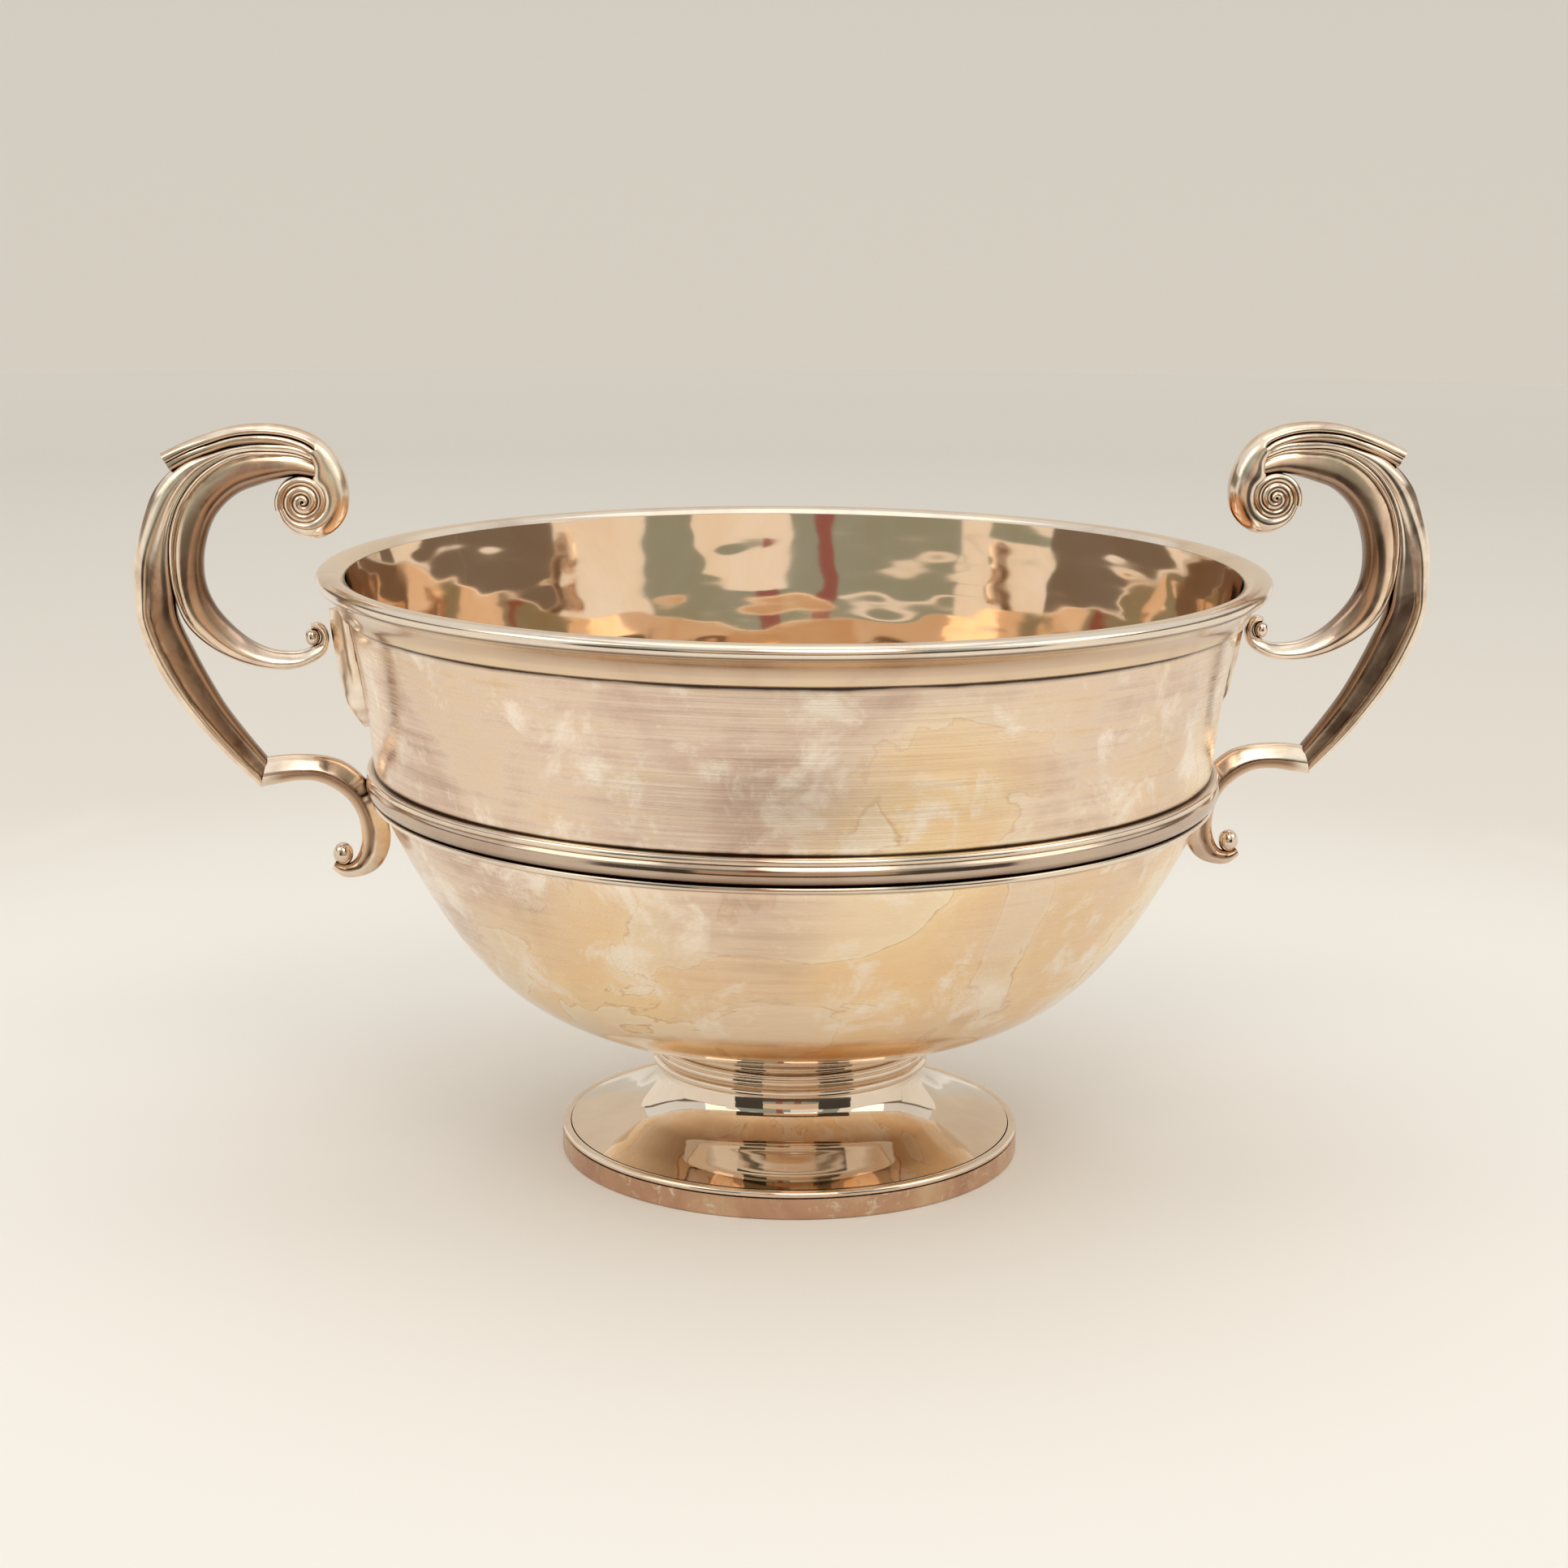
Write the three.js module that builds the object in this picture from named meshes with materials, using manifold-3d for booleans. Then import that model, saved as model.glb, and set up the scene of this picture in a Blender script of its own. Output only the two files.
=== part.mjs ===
// Two-handled silver bowl on a spreading foot, an assembly of soldered pieces.
// Millimetres, +Z up. The origin is the centre of the foot's underside, and the
// handles lie on the X axis.
import * as THREE from 'three';
import * as BufferGeometryUtils from 'three/addons/utils/BufferGeometryUtils.js';
import Module from 'manifold-3d';

const wasm = await Module();
wasm.setup();

// Driving dimensions: joints between pieces
const solderGap = 0.3;          // room left for the solder film between two pieces

// Driving dimensions: the foot, from the table upward
const skirtRadius = 62;
const skirtHeight = 5.6;
const skirtThickness = 1.4;
const edgeWireHeight = 1.9;     // half-round wire on top of the skirt
const edgeWireWidth = 2.3;
const domeRise = 14.5;          // from the edge wire up to the foot of the neck
const neckRadius = 35.4;
const neckHeight = 8.8;
const flangeHeight = 2.8;       // the top of the foot spreads again under the bowl
const flangeRadius = 40;
const footSheet = 1.2;
const collarHeight = 6.6;       // reeded wire ring round the neck
const collarWidth = 2.1;
const collarDrop = 0.3;         // from the collar's top edge up to the flange

// Driving dimensions: the bowl
const bowlSheet = 1.3;
const bowlSlopeAtFoot = 0.335;  // rise per millimetre of radius where the foot joins
const bowlCrownDepth = 6.7;     // how far the bottom dips below that ring
const lowerBowlRise = 64.6;     // from the foot joint to the underside of the girdle
const girdleRadius = 109.6;     // sheet radius where the lower bowl meets the girdle
const lowerPull = 63.8;         // length of the curve's upper tangent
const footPull = 27.4;          // length of the curve's lower tangent
const girdleSlope = 2.15;
const girdleSpan = 8.9;         // sheet height that the girdle covers
const girdleStep = 1.3;         // the wall stands this much outside the lower sheet
const wallHeight = 50.7;
const wallFlare = 8;            // the wall opens by this much up to the rim
const wallBelly = 1.1;          // the wall's line bends inward by this much

// Driving dimensions: the applied wires
const lipWidth = 5.8;           // rim moulding, outward from the sheet
const lipCrown = 1.3;           // the lip's roll stands this much above the sheet
const lipDrop = 9.6;            // the moulding's height below the sheet's edge
const girdleProud = 2;          // half-round girdle, outward from the sheet
const girdleBeadHeight = 1.7;
const girdleRoundHeight = 4.6;
const lowerWireHeight = 1.9;
const lowerWireProud = 1.8;

// Driving dimensions: the handles
const handleRise = 55.2;        // the crest's top above the upper joint
const coilRadius = 6;           // the volute's rolled end
const coilPitch = 2.5;
const coilTurns = 2.1;
const coilDepth = 9.4;
const eyeRise = 1.2;            // the eye stands this much prouder on each side
const crestDepth = 10.6;
const armDepth = 8.2;
const scrollDepth = 9.4;
const bracketDepth = 7.4;
const upperBallRadius = 2;
const lowerBallRadius = 2.4;
const dropHeight = 31.5;
const dropHalfWidth = 6.4;
const dropThickness = 5.1;
const upperJointBelowRim = 16.1;

// Facets
const bowlSegments = 56;
const footSegments = 44;

// Heights and radii that follow from the sizes above
const ledgeZ = skirtHeight + edgeWireHeight;
const domeTopZ = ledgeZ + domeRise;
const flangeZ = domeTopZ + neckHeight;
const footTopZ = flangeZ + flangeHeight;
const bowlSeatZ = footTopZ + solderGap;
const girdleZ = bowlSeatZ + lowerBowlRise;
const wallZ = girdleZ + girdleSpan;
const rimZ = wallZ + wallHeight;
const wallBottomRadius = girdleRadius + girdleStep;
const rimWallRadius = wallBottomRadius + wallFlare;

const silver = { color: 0xd2b596, roughness: 0.28, metalness: 1 };
const polished = { color: 0xdcc3a2, roughness: 0.14, metalness: 1 };
const toned = { color: 0xb08d68, roughness: 0.3, metalness: 1 };

const bowl = new THREE.Group();

function addPiece(parent, name, geometry, finish) {
  const piece = new THREE.Mesh(geometry, new THREE.MeshStandardMaterial(finish));
  piece.name = name;
  parent.add(piece);
  return piece;
}

// Merged positions only, so that neighbouring triangles share their corners
function welded(geometry) {
  const bare = geometry.index ? geometry.toNonIndexed() : geometry.clone();
  bare.deleteAttribute('normal');
  bare.deleteAttribute('uv');
  return BufferGeometryUtils.mergeVertices(bare, 1e-4);
}

function toManifold(geometry) {
  const bare = welded(geometry);
  const vertProperties = new Float32Array(bare.attributes.position.array);
  const triVerts = new Uint32Array(bare.index.array);
  return new wasm.Manifold(new wasm.Mesh({ numProp: 3, vertProperties, triVerts }));
}

function fromManifold(solid) {
  const mesh = solid.getMesh();
  const geometry = new THREE.BufferGeometry();
  geometry.setAttribute('position', new THREE.BufferAttribute(mesh.vertProperties, 3));
  geometry.setIndex(new THREE.BufferAttribute(mesh.triVerts, 1));
  return geometry;
}

// A profile of [radius, height] points, closed by the function, turned round Z
function turned(profile, segments) {
  const area = profile.reduce((sum, [r, z], i) => {
    const [nextR, nextZ] = profile[(i + 1) % profile.length];
    return sum + r * nextZ - nextR * z;
  }, 0);
  const ordered = area > 0 ? profile : [...profile].reverse();
  const points = [...ordered, ordered[0]].map(([r, z]) => new THREE.Vector2(r, z));
  const lathe = new THREE.LatheGeometry(points, segments);
  lathe.rotateX(Math.PI / 2);
  return welded(lathe);
}

// The bowl's outer line, from the foot joint up to the rim
const seat = new THREE.Vector2(flangeRadius, bowlSeatZ);
const girdleFoot = new THREE.Vector2(girdleRadius, girdleZ);
const lowerCurve = new THREE.CubicBezierCurve(
  seat,
  new THREE.Vector2(1, bowlSlopeAtFoot).setLength(footPull).add(seat),
  new THREE.Vector2(-1, -girdleSlope).setLength(lowerPull).add(girdleFoot),
  girdleFoot
);
const crownCurve = new THREE.QuadraticBezierCurve(
  new THREE.Vector2(0, bowlSeatZ - bowlCrownDepth),
  new THREE.Vector2(flangeRadius - bowlCrownDepth / bowlSlopeAtFoot, bowlSeatZ - bowlCrownDepth),
  seat
);
const wallCurve = new THREE.QuadraticBezierCurve(
  new THREE.Vector2(wallBottomRadius, wallZ),
  new THREE.Vector2(wallBottomRadius + wallFlare / 2 - wallBelly, wallZ + wallHeight / 2),
  new THREE.Vector2(rimWallRadius, rimZ)
);

function wallRadiusAt(z) {
  const t = THREE.MathUtils.clamp((z - wallZ) / wallHeight, -0.2, 1);
  return wallCurve.getPoint(t).x;
}

// The same line pushed outward by a distance, or inward when it is negative
function offsetLine(curve, divisions, distance) {
  const line = [];
  for (let i = 0; i <= divisions; i += 1) {
    const point = curve.getPoint(i / divisions);
    const tangent = curve.getTangent(i / divisions);
    const r = Math.max(point.x + tangent.y * distance, 0);
    line.push([r, point.y - tangent.x * distance]);
  }
  return line;
}

function bowlLine(distance, divisions) {
  return [
    ...offsetLine(crownCurve, 2, distance),
    ...offsetLine(lowerCurve, divisions, distance).slice(1),
    ...offsetLine(wallCurve, 3, distance)
  ];
}

// Raised bowl: one sheet, the same thickness all over
function bowlShell() {
  const inside = bowlLine(-bowlSheet, 6).reverse();
  return turned([...bowlLine(0, 7), ...inside], bowlSegments);
}

// Applied rim: a rolled lip whose face falls back in an ovolo to a narrow fillet
function rimMoulding() {
  const back = (z) => wallRadiusAt(z) + solderGap;
  const lip = rimWallRadius + lipWidth + solderGap;
  const bottom = rimZ - lipDrop;
  return turned([
    [back(bottom), bottom],
    [back(bottom) + lipWidth * 0.22, bottom + lipDrop * 0.05],
    [back(bottom) + lipWidth * 0.38, bottom + lipDrop * 0.16],
    [lip - lipWidth * 0.45, bottom + lipDrop * 0.45],
    [lip - lipWidth * 0.17, bottom + lipDrop * 0.63],
    [lip - lipWidth * 0.03, bottom + lipDrop * 0.79],
    [lip, bottom + lipDrop * 0.95],
    [lip - lipWidth * 0.2, rimZ + lipCrown * 0.6],
    [lip - lipWidth * 0.52, rimZ + lipCrown],
    [back(rimZ), rimZ + lipCrown * 0.15]
  ], bowlSegments);
}

// Applied girdle: a drawn strip with a narrow bead over a broad half-round. The
// profile can be grown on its outer side, to cut the seats of the handles.
function girdleProfile(grow) {
  const bottom = girdleZ + lowerWireHeight + solderGap - grow;
  const top = bottom + girdleRoundHeight + girdleBeadHeight + grow * 2;
  const back = wallBottomRadius + solderGap;
  const face = back + girdleProud + grow;
  return [
    [back, bottom],
    [face - girdleProud * 0.35, bottom],
    [face - girdleProud * 0.05, bottom + girdleRoundHeight * 0.22],
    [face, bottom + girdleRoundHeight * 0.55],
    [face - girdleProud * 0.25, bottom + girdleRoundHeight],
    [face - girdleProud * 0.15, bottom + girdleRoundHeight + girdleBeadHeight * 0.5],
    [face - girdleProud * 0.35, top],
    [back, top]
  ];
}

// Fine wire under the girdle, on the shoulder of the lower bowl
function lowerWireProfile(grow) {
  const bottom = girdleZ + lowerWireHeight * 0.05 - grow;
  const top = girdleZ + lowerWireHeight + grow;
  const back = girdleRadius + girdleStep * 0.46;
  const tip = back + lowerWireProud + grow;
  return [
    [back, bottom],
    [tip - lowerWireProud * 0.25, bottom],
    [tip, girdleZ + lowerWireHeight / 2],
    [tip - lowerWireProud * 0.25, top],
    [back + lowerWireProud * 0.45, top]
  ];
}

// Spun foot: a flange under the bowl, a narrow neck that flares in a hollow curve, and
// a flatter brim down to the edge wire. It is open below.
function footDome() {
  const rim = skirtRadius - edgeWireWidth - solderGap;
  const flare = (out, up) => [
    THREE.MathUtils.lerp(neckRadius, rim, out),
    ledgeZ + domeRise * up
  ];
  const outside = [
    [flangeRadius, footTopZ],
    [THREE.MathUtils.lerp(neckRadius, flangeRadius, 0.35), flangeZ + flangeHeight * 0.25],
    [neckRadius, flangeZ - collarDrop],
    flare(0, 1), flare(0.03, 0.86), flare(0.1, 0.69), flare(0.21, 0.53),
    flare(0.37, 0.37), flare(0.6, 0.22), flare(0.82, 0.12), flare(1, 0)
  ];
  const below = [2, 3, 5, 6, 8, 9].map((i) => {
    const [r0, z0] = outside[i - 1];
    const [r1, z1] = outside[i + 1];
    const run = new THREE.Vector2(r1 - r0, z1 - z0).normalize();
    return [outside[i][0] + run.y * footSheet, outside[i][1] - run.x * footSheet];
  });
  const flangeWidth = footSheet * 2;
  return turned([
    ...outside,
    [rim, ledgeZ - footSheet],
    ...below.reverse(),
    [flangeRadius - flangeWidth, footTopZ - flangeWidth * bowlSlopeAtFoot]
  ], footSegments);
}

// Reeded wire ring round the neck: two fine reeds over one bold roll
function footCollar() {
  const back = neckRadius + solderGap;
  const top = flangeZ - collarDrop;
  const down = (share) => top - collarHeight * share;
  const out = (share) => back + collarWidth * share;
  return turned([
    [back, top],
    [out(0.45), down(0.02)],
    [out(0.62), down(0.11)],
    [out(0.4), down(0.26)],
    [out(0.62), down(0.4)],
    [out(0.4), down(0.54)],
    [out(0.94), down(0.66)],
    [out(0.94), down(0.87)],
    [out(0.4), down(0.99)],
    [back, down(1)]
  ], footSegments);
}

// Half-round wire that covers the joint between the dome and the skirt
function footEdgeWire() {
  const inner = skirtRadius - edgeWireWidth;
  return turned([
    [inner, skirtHeight + solderGap],
    [skirtRadius - edgeWireWidth * 0.12, skirtHeight + solderGap],
    [skirtRadius, skirtHeight + edgeWireHeight * 0.45],
    [skirtRadius - edgeWireWidth * 0.22, skirtHeight + edgeWireHeight * 0.85],
    [skirtRadius - edgeWireWidth * 0.52, skirtHeight + edgeWireHeight],
    [inner, skirtHeight + edgeWireHeight]
  ], footSegments);
}

// Upright band that the whole bowl stands on
function footSkirt() {
  const inner = skirtRadius - skirtThickness;
  return turned([
    [inner, 0],
    [skirtRadius - skirtThickness * 0.15, 0],
    [skirtRadius, skirtThickness * 0.2],
    [skirtRadius, skirtHeight],
    [inner, skirtHeight]
  ], footSegments);
}

// Handle joints: the upper one on the wall below the rim, the lower on the girdle
const upperJointZ = rimZ - upperJointBelowRim;
const upperJointX = wallRadiusAt(upperJointZ) + dropThickness + solderGap;
const lowerJointZ = girdleZ + girdleSpan / 2;
const lowerJointX = wallBottomRadius + girdleProud + solderGap;

// The handle is drawn in units of which the crest's top stands 55.2 above the joint
const handleUnit = handleRise / 55.2;

// Places on that drawing, outward and upward from either joint
function fromUpper(out, up) {
  return new THREE.Vector3(upperJointX + out * handleUnit, 0, upperJointZ + up * handleUnit);
}
function fromLower(out, up) {
  return new THREE.Vector3(lowerJointX + out * handleUnit, 0, lowerJointZ + up * handleUnit);
}

function polar(centre, degrees, distance) {
  const angle = THREE.MathUtils.degToRad(degrees);
  return centre.clone().add(
    new THREE.Vector3(Math.cos(angle), 0, Math.sin(angle)).multiplyScalar(distance)
  );
}

// Closed skin over rings of equal length, with a fan of triangles at each end
function skinned(rings) {
  const count = rings[0].length;
  const corners = [];
  for (let i = 0; i + 1 < rings.length; i += 1) {
    for (let j = 0; j < count; j += 1) {
      const k = (j + 1) % count;
      corners.push(rings[i][j], rings[i][k], rings[i + 1][k]);
      corners.push(rings[i][j], rings[i + 1][k], rings[i + 1][j]);
    }
  }
  const middle = (ring) => ring.reduce((sum, p) => sum.add(p), new THREE.Vector3())
    .divideScalar(count);
  const first = rings[0];
  const last = rings[rings.length - 1];
  const start = middle(first);
  const end = middle(last);
  for (let j = 0; j < count; j += 1) {
    const k = (j + 1) % count;
    corners.push(first[k], first[j], start, last[j], last[k], end);
  }
  return welded(new THREE.BufferGeometry().setFromPoints(facedOut(corners)));
}

// Triangle corners in the order that makes their faces point out of the solid
function facedOut(corners) {
  let volume = 0;
  for (let i = 0; i < corners.length; i += 3) {
    volume += corners[i].dot(corners[i + 1].clone().cross(corners[i + 2]));
  }
  if (volume > 0) return corners;
  const turnedRound = [];
  for (let i = 0; i < corners.length; i += 3) {
    turnedRound.push(corners[i], corners[i + 2], corners[i + 1]);
  }
  return turnedRound;
}

// A bar lofted between an outer and an inner edge in the handle's plane. Both edges
// have as many points, and at each station the section spans the two.
function loftedBar({ outer, inner, segments, depths, sections }) {
  const outerEdge = new THREE.CatmullRomCurve3(outer, false, 'centripetal');
  const innerEdge = new THREE.CatmullRomCurve3(inner, false, 'centripetal');
  const depthAt = eased(depths);
  const rings = [];
  for (let i = 0; i <= segments; i += 1) {
    const t = i / segments;
    const from = outerEdge.getPoint(t);
    const to = innerEdge.getPoint(t);
    rings.push(sections(t).map(([across, side]) => {
      const point = from.clone().lerp(to, across);
      point.y = side * depthAt(t) / 2;
      return point;
    }));
  }
  return skinned(rings);
}

// Values given at even steps along a bar, eased between them
function eased(values) {
  return (t) => {
    const place = Math.min(t * (values.length - 1), values.length - 1.0001);
    const i = Math.floor(place);
    const share = THREE.MathUtils.smoothstep(place - i, 0, 1);
    return THREE.MathUtils.lerp(values[i], values[i + 1], share);
  };
}

// Half sections as [share of the way from outer to inner edge, share of half the
// depth], mirrored to the other side of the handle's plane
function mirrored(side) {
  return [...side, ...side.map(([across, depth]) => [across, -depth]).reverse()];
}
const crestSection = mirrored([[0.02, 0.3], [0.16, 0.66], [0.45, 0.94], [0.78, 1], [1, 0.94]]);
const armSection = mirrored(
  [[0, 0.42], [0.1, 0.92], [0.3, 0.84], [0.6, 0.7], [0.88, 0.78], [1, 0.4]]
);
const scrollSection = mirrored(
  [[0, 0.3], [0.1, 0.66], [0.2, 0.7], [0.48, 1], [0.8, 0.84], [1, 0.34]]
);
const wireSection = mirrored(
  [[0, 0.24], [0.09, 0.6], [0.25, 0.87], [0.5, 1], [0.8, 0.8], [0.98, 0.28]]
);
const coilSection = mirrored([[0, 0.88], [0.5, 1], [1, 0.88]]);

function blended(from, to, share) {
  return from.map(([across, side], i) => [
    THREE.MathUtils.lerp(across, to[i][0], share),
    THREE.MathUtils.lerp(side, to[i][1], share)
  ]);
}

// The handle's arch, laid up from the inside of the finger gap outward. Each row is
// a place on the scroll's inner edge and the thickness of scroll and arm there, in
// units of the drawing.
const arch = [
  { at: fromUpper(5.4, 42.4), scroll: 3.7, arm: 1.6 },
  { at: fromUpper(8.3, 42.2), scroll: 5.7, arm: 1.8 },
  { at: fromUpper(13.5, 39.4), scroll: 9.4, arm: 1.8 },
  { at: fromUpper(18.2, 39.2), scroll: 9.5, arm: 1.8 },
  { at: fromUpper(22.4, 37.7), scroll: 9.7, arm: 2.8 },
  { at: fromUpper(26.3, 34.7), scroll: 9.9, arm: 5.3 },
  { at: fromUpper(29.4, 30.7), scroll: 9.7, arm: 7 },
  { at: fromUpper(31.4, 25.6), scroll: 9.3, arm: 7.7 },
  { at: fromUpper(32.4, 19.8), scroll: 8.6, arm: 9.1 },
  { at: fromUpper(32, 13.6), scroll: 8.4, arm: 10.2 },
  { at: fromUpper(29.9, 8.2), scroll: 8.8 },
  { at: fromUpper(26, 3.2), scroll: 8.1 },
  { at: fromUpper(21, -1.1), scroll: 6.6 },
  { at: fromUpper(15.8, -3.6), scroll: 5.4 },
  { at: fromUpper(11, -4.3), scroll: 4.8 },
  { at: fromUpper(7.6, -4), scroll: 4.3 }
];
const archLine = new THREE.CatmullRomCurve3(arch.map((row) => row.at), false, 'centripetal');
arch.forEach((row, i) => {
  const along = archLine.getTangent(i / (arch.length - 1));
  row.outward = new THREE.Vector3(-along.z, 0, along.x);
});
const armRows = arch.filter((row) => row.arm);

// The scroll's outer edge in a row, and a point further out on the same line
const scrollEdge = (row) => row.at.clone().addScaledVector(row.outward, row.scroll * handleUnit);
const beyond = (row, distance) => scrollEdge(row).addScaledVector(row.outward, distance);

// C-scroll: swells under the arch, thins to a wire and curls round its ball
const upperBallCentre = fromUpper(5, -0.6);
const curl = [[258, 3.9], [226, 3], [200, 2.3], [172, 2.1], [138, 2.2], [110, 2], [84, 1.3]];
function cScroll() {
  const clear = upperBallRadius + solderGap;
  return loftedBar({
    outer: [
      ...arch.map(scrollEdge),
      ...curl.map(([angle, thick]) => polar(upperBallCentre, angle, clear + thick * handleUnit))
    ],
    inner: [
      ...arch.map((row) => row.at),
      ...curl.map(([angle]) => polar(upperBallCentre, angle, clear))
    ],
    segments: 30,
    depths: [0.84, 0.95, 1, 1, 1, 0.95, 0.8, 0.62, 0.52, 0.48, 0.44, 0.36]
      .map((share) => share * scrollDepth),
    sections: (t) => blended(scrollSection, wireSection, THREE.MathUtils.smoothstep(t, 0.3, 0.6))
  });
}

// Outer arm: a reed under the crest that broadens into a channelled strap and ends
// in the mitre over the bracket
const mitreOuter = fromLower(27.5, -1.2);
const mitreInner = fromLower(25.6, 6.5);
function outerArm() {
  return loftedBar({
    outer: [
      ...armRows.map((row) => beyond(row, solderGap + row.arm * handleUnit)),
      fromUpper(49.6, 3.5), fromLower(54.8, 33.9), fromLower(49.8, 24.5),
      fromLower(43.8, 16.3), fromLower(36, 7.1), mitreOuter
    ],
    inner: [
      ...armRows.map((row) => beyond(row, solderGap)),
      fromUpper(39.3, 5), fromLower(43.8, 35.6), fromLower(40.3, 28.4),
      fromLower(36.1, 20.8), fromLower(31.5, 14.2), mitreInner
    ],
    segments: 22,
    depths: [0.86, 0.9, 1, 1, 1, 1, 0.96, 0.92, 0.9].map((share) => share * armDepth),
    sections: () => armSection
  });
}

// Crest: a thumb piece cut off square, a cap over the arch, then the volute's roll
const voluteCentre = fromUpper(6.8, 35.2);
const roll = [122, 150, 180, 208, 234, 260, 288, 315, 342];
function crest() {
  return loftedBar({
    outer: [
      fromUpper(42.6, 47.5), fromUpper(36.6, 50.4), fromUpper(30.3, 52.8),
      fromUpper(24.3, 54.5), fromUpper(18.3, 55.2), fromUpper(12.8, 55), fromUpper(7.8, 54),
      fromUpper(3.1, 52), fromUpper(-0.6, 49), fromUpper(-3.2, 45.1), fromUpper(-4.9, 40.6),
      fromUpper(-5.4, 35.8), fromUpper(-4.2, 30.8), fromUpper(-1, 27.1), fromUpper(3.3, 25.4),
      fromUpper(8.2, 26.4), fromUpper(11.6, 29.3), fromUpper(13.1, 32.7)
    ],
    inner: [
      fromUpper(41.2, 45), fromUpper(35.2, 47.6), fromUpper(29, 49.7), fromUpper(23.6, 51),
      fromUpper(18.1, 51.4), fromUpper(13.1, 51.1), fromUpper(8.8, 50.2),
      fromUpper(5.2, 48.5), fromUpper(3.5, 45.2),
      ...roll.map((angle) => polar(voluteCentre, angle, coilRadius + solderGap))
    ],
    segments: 30,
    depths: [0.5, 0.76, 0.88, 0.94, 1, 1, 1, 0.96, 0.9].map((share) => share * crestDepth),
    sections: () => crestSection
  });
}

// The volute's rolled end: one ribbon wound inward to a raised eye
function voluteCoil() {
  const perTurn = 12;
  const width = coilPitch - solderGap;
  const rings = [];
  for (let i = 0; i <= Math.round(coilTurns * perTurn); i += 1) {
    const turns = i / perTurn;
    const outer = coilRadius - coilPitch * turns;
    const inner = Math.max(outer - width, solderGap / 2);
    const rise = 1 + (2 * eyeRise / coilDepth) * (turns / coilTurns) ** 2;
    rings.push(coilSection.map(([across, side]) => {
      const distance = THREE.MathUtils.lerp(outer, inner, across);
      const point = polar(voluteCentre, -18 + turns * 360, distance);
      point.y = side * rise * coilDepth / 2;
      return point;
    }));
  }
  return skinned(rings);
}

function ball(centre, radius) {
  return welded(new THREE.SphereGeometry(radius, 10, 7).rotateX(Math.PI / 2)
    .translate(centre.x, centre.y, centre.z));
}

// Bracket: round S-shaped bar from the mitre to the girdle, its end curled outward
const lowerBallCentre = fromLower(6.4, -19.8);
function bracket() {
  const slant = mitreInner.clone().sub(mitreOuter).normalize();
  const inward = new THREE.Vector3(-slant.z, 0, slant.x).multiplyScalar(solderGap);
  const bar = loftedBar({
    outer: [
      mitreOuter.clone().add(inward), fromLower(22.6, -0.3), fromLower(18.2, 0.4),
      fromLower(13.2, 0.2), fromLower(8.7, -1.7), fromLower(4.8, -4.9), fromLower(2.2, -9),
      fromLower(0.9, -13.3), fromLower(0.5, -17.3), fromLower(1.1, -20.5),
      fromLower(2.6, -22.7), fromLower(4.6, -23.4), fromLower(6.6, -22.8)
    ],
    inner: [
      mitreInner.clone().add(inward), fromLower(21.2, 7), fromLower(16.3, 7.1),
      fromLower(10.8, 6.6), fromLower(5.6, 4.9), fromLower(0.7, 0.9), fromLower(-2.8, -4.1),
      fromLower(-5.6, -11), fromLower(-6.1, -16.5), fromLower(-4.5, -21.4),
      fromLower(-1.8, -24.4), fromLower(2.4, -26), fromLower(7.2, -25.4)
    ],
    segments: 22,
    depths: [1, 1, 1, 1, 0.98, 0.95, 0.88, 0.7, 0.5, 0.4].map((share) => share * bracketDepth),
    sections: () => wireSection
  });
  return seated(bar);
}

// Drop: a keeled, pointed plate on the wall that spreads the upper joint
function drop() {
  const top = rimZ - lipDrop - solderGap;
  const outline = [[0, 0.94, 0.9], [0.14, 1, 1], [0.4, 0.9, 1.02], [0.62, 0.7, 0.98],
    [0.8, 0.44, 0.86], [0.92, 0.24, 0.5], [1, 0.08, 0.2]];
  const rings = outline.map(([down, width, thick]) => {
    const z = top - dropHeight * down;
    const wall = wallRadiusAt(z);
    const half = dropHalfWidth * width;
    const proud = dropThickness * thick;
    return [
      [-dropThickness * 0.4, half], [proud * 0.16, half], [proud * 0.62, half * 0.62],
      [proud, half * 0.16], [proud, -half * 0.16], [proud * 0.62, -half * 0.62],
      [proud * 0.16, -half], [-dropThickness * 0.4, -half]
    ].map(([out, side]) => new THREE.Vector3(wall + out, side, z));
  });
  return seated(skinned(rings));
}

// What touches the bowl is filed to its wall and girdle, with room for solder
function seated(geometry) {
  const bowlSolid = turned([...bowlLine(solderGap, 7), [0, rimZ]], bowlSegments);
  const girdleSolid = turned(girdleProfile(solderGap), bowlSegments);
  const wireSolid = turned(lowerWireProfile(solderGap), bowlSegments);
  return fromManifold([bowlSolid, girdleSolid, wireSolid].reduce(
    (piece, other) => piece.subtract(toManifold(other)),
    toManifold(geometry)
  ));
}

addPiece(bowl, 'bowl_shell', bowlShell(), silver);
addPiece(bowl, 'rim_moulding', rimMoulding(), silver);
addPiece(bowl, 'girdle_moulding', turned(girdleProfile(0), bowlSegments), silver);
addPiece(bowl, 'girdle_lower_wire', turned(lowerWireProfile(0), bowlSegments), silver);
addPiece(bowl, 'foot_dome', footDome(), polished);
addPiece(bowl, 'foot_collar', footCollar(), polished);
addPiece(bowl, 'foot_edge_wire', footEdgeWire(), polished);
addPiece(bowl, 'foot_skirt', footSkirt(), toned);

const handlePieces = [
  ['crest', crest(), silver],
  ['outer_arm', outerArm(), toned],
  ['c_scroll', cScroll(), silver],
  ['volute_coil', voluteCoil(), silver],
  ['upper_ball', ball(upperBallCentre, upperBallRadius), silver],
  ['bracket', bracket(), silver],
  ['lower_ball', ball(lowerBallCentre, lowerBallRadius), silver],
  ['drop', drop(), silver]
];

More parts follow.
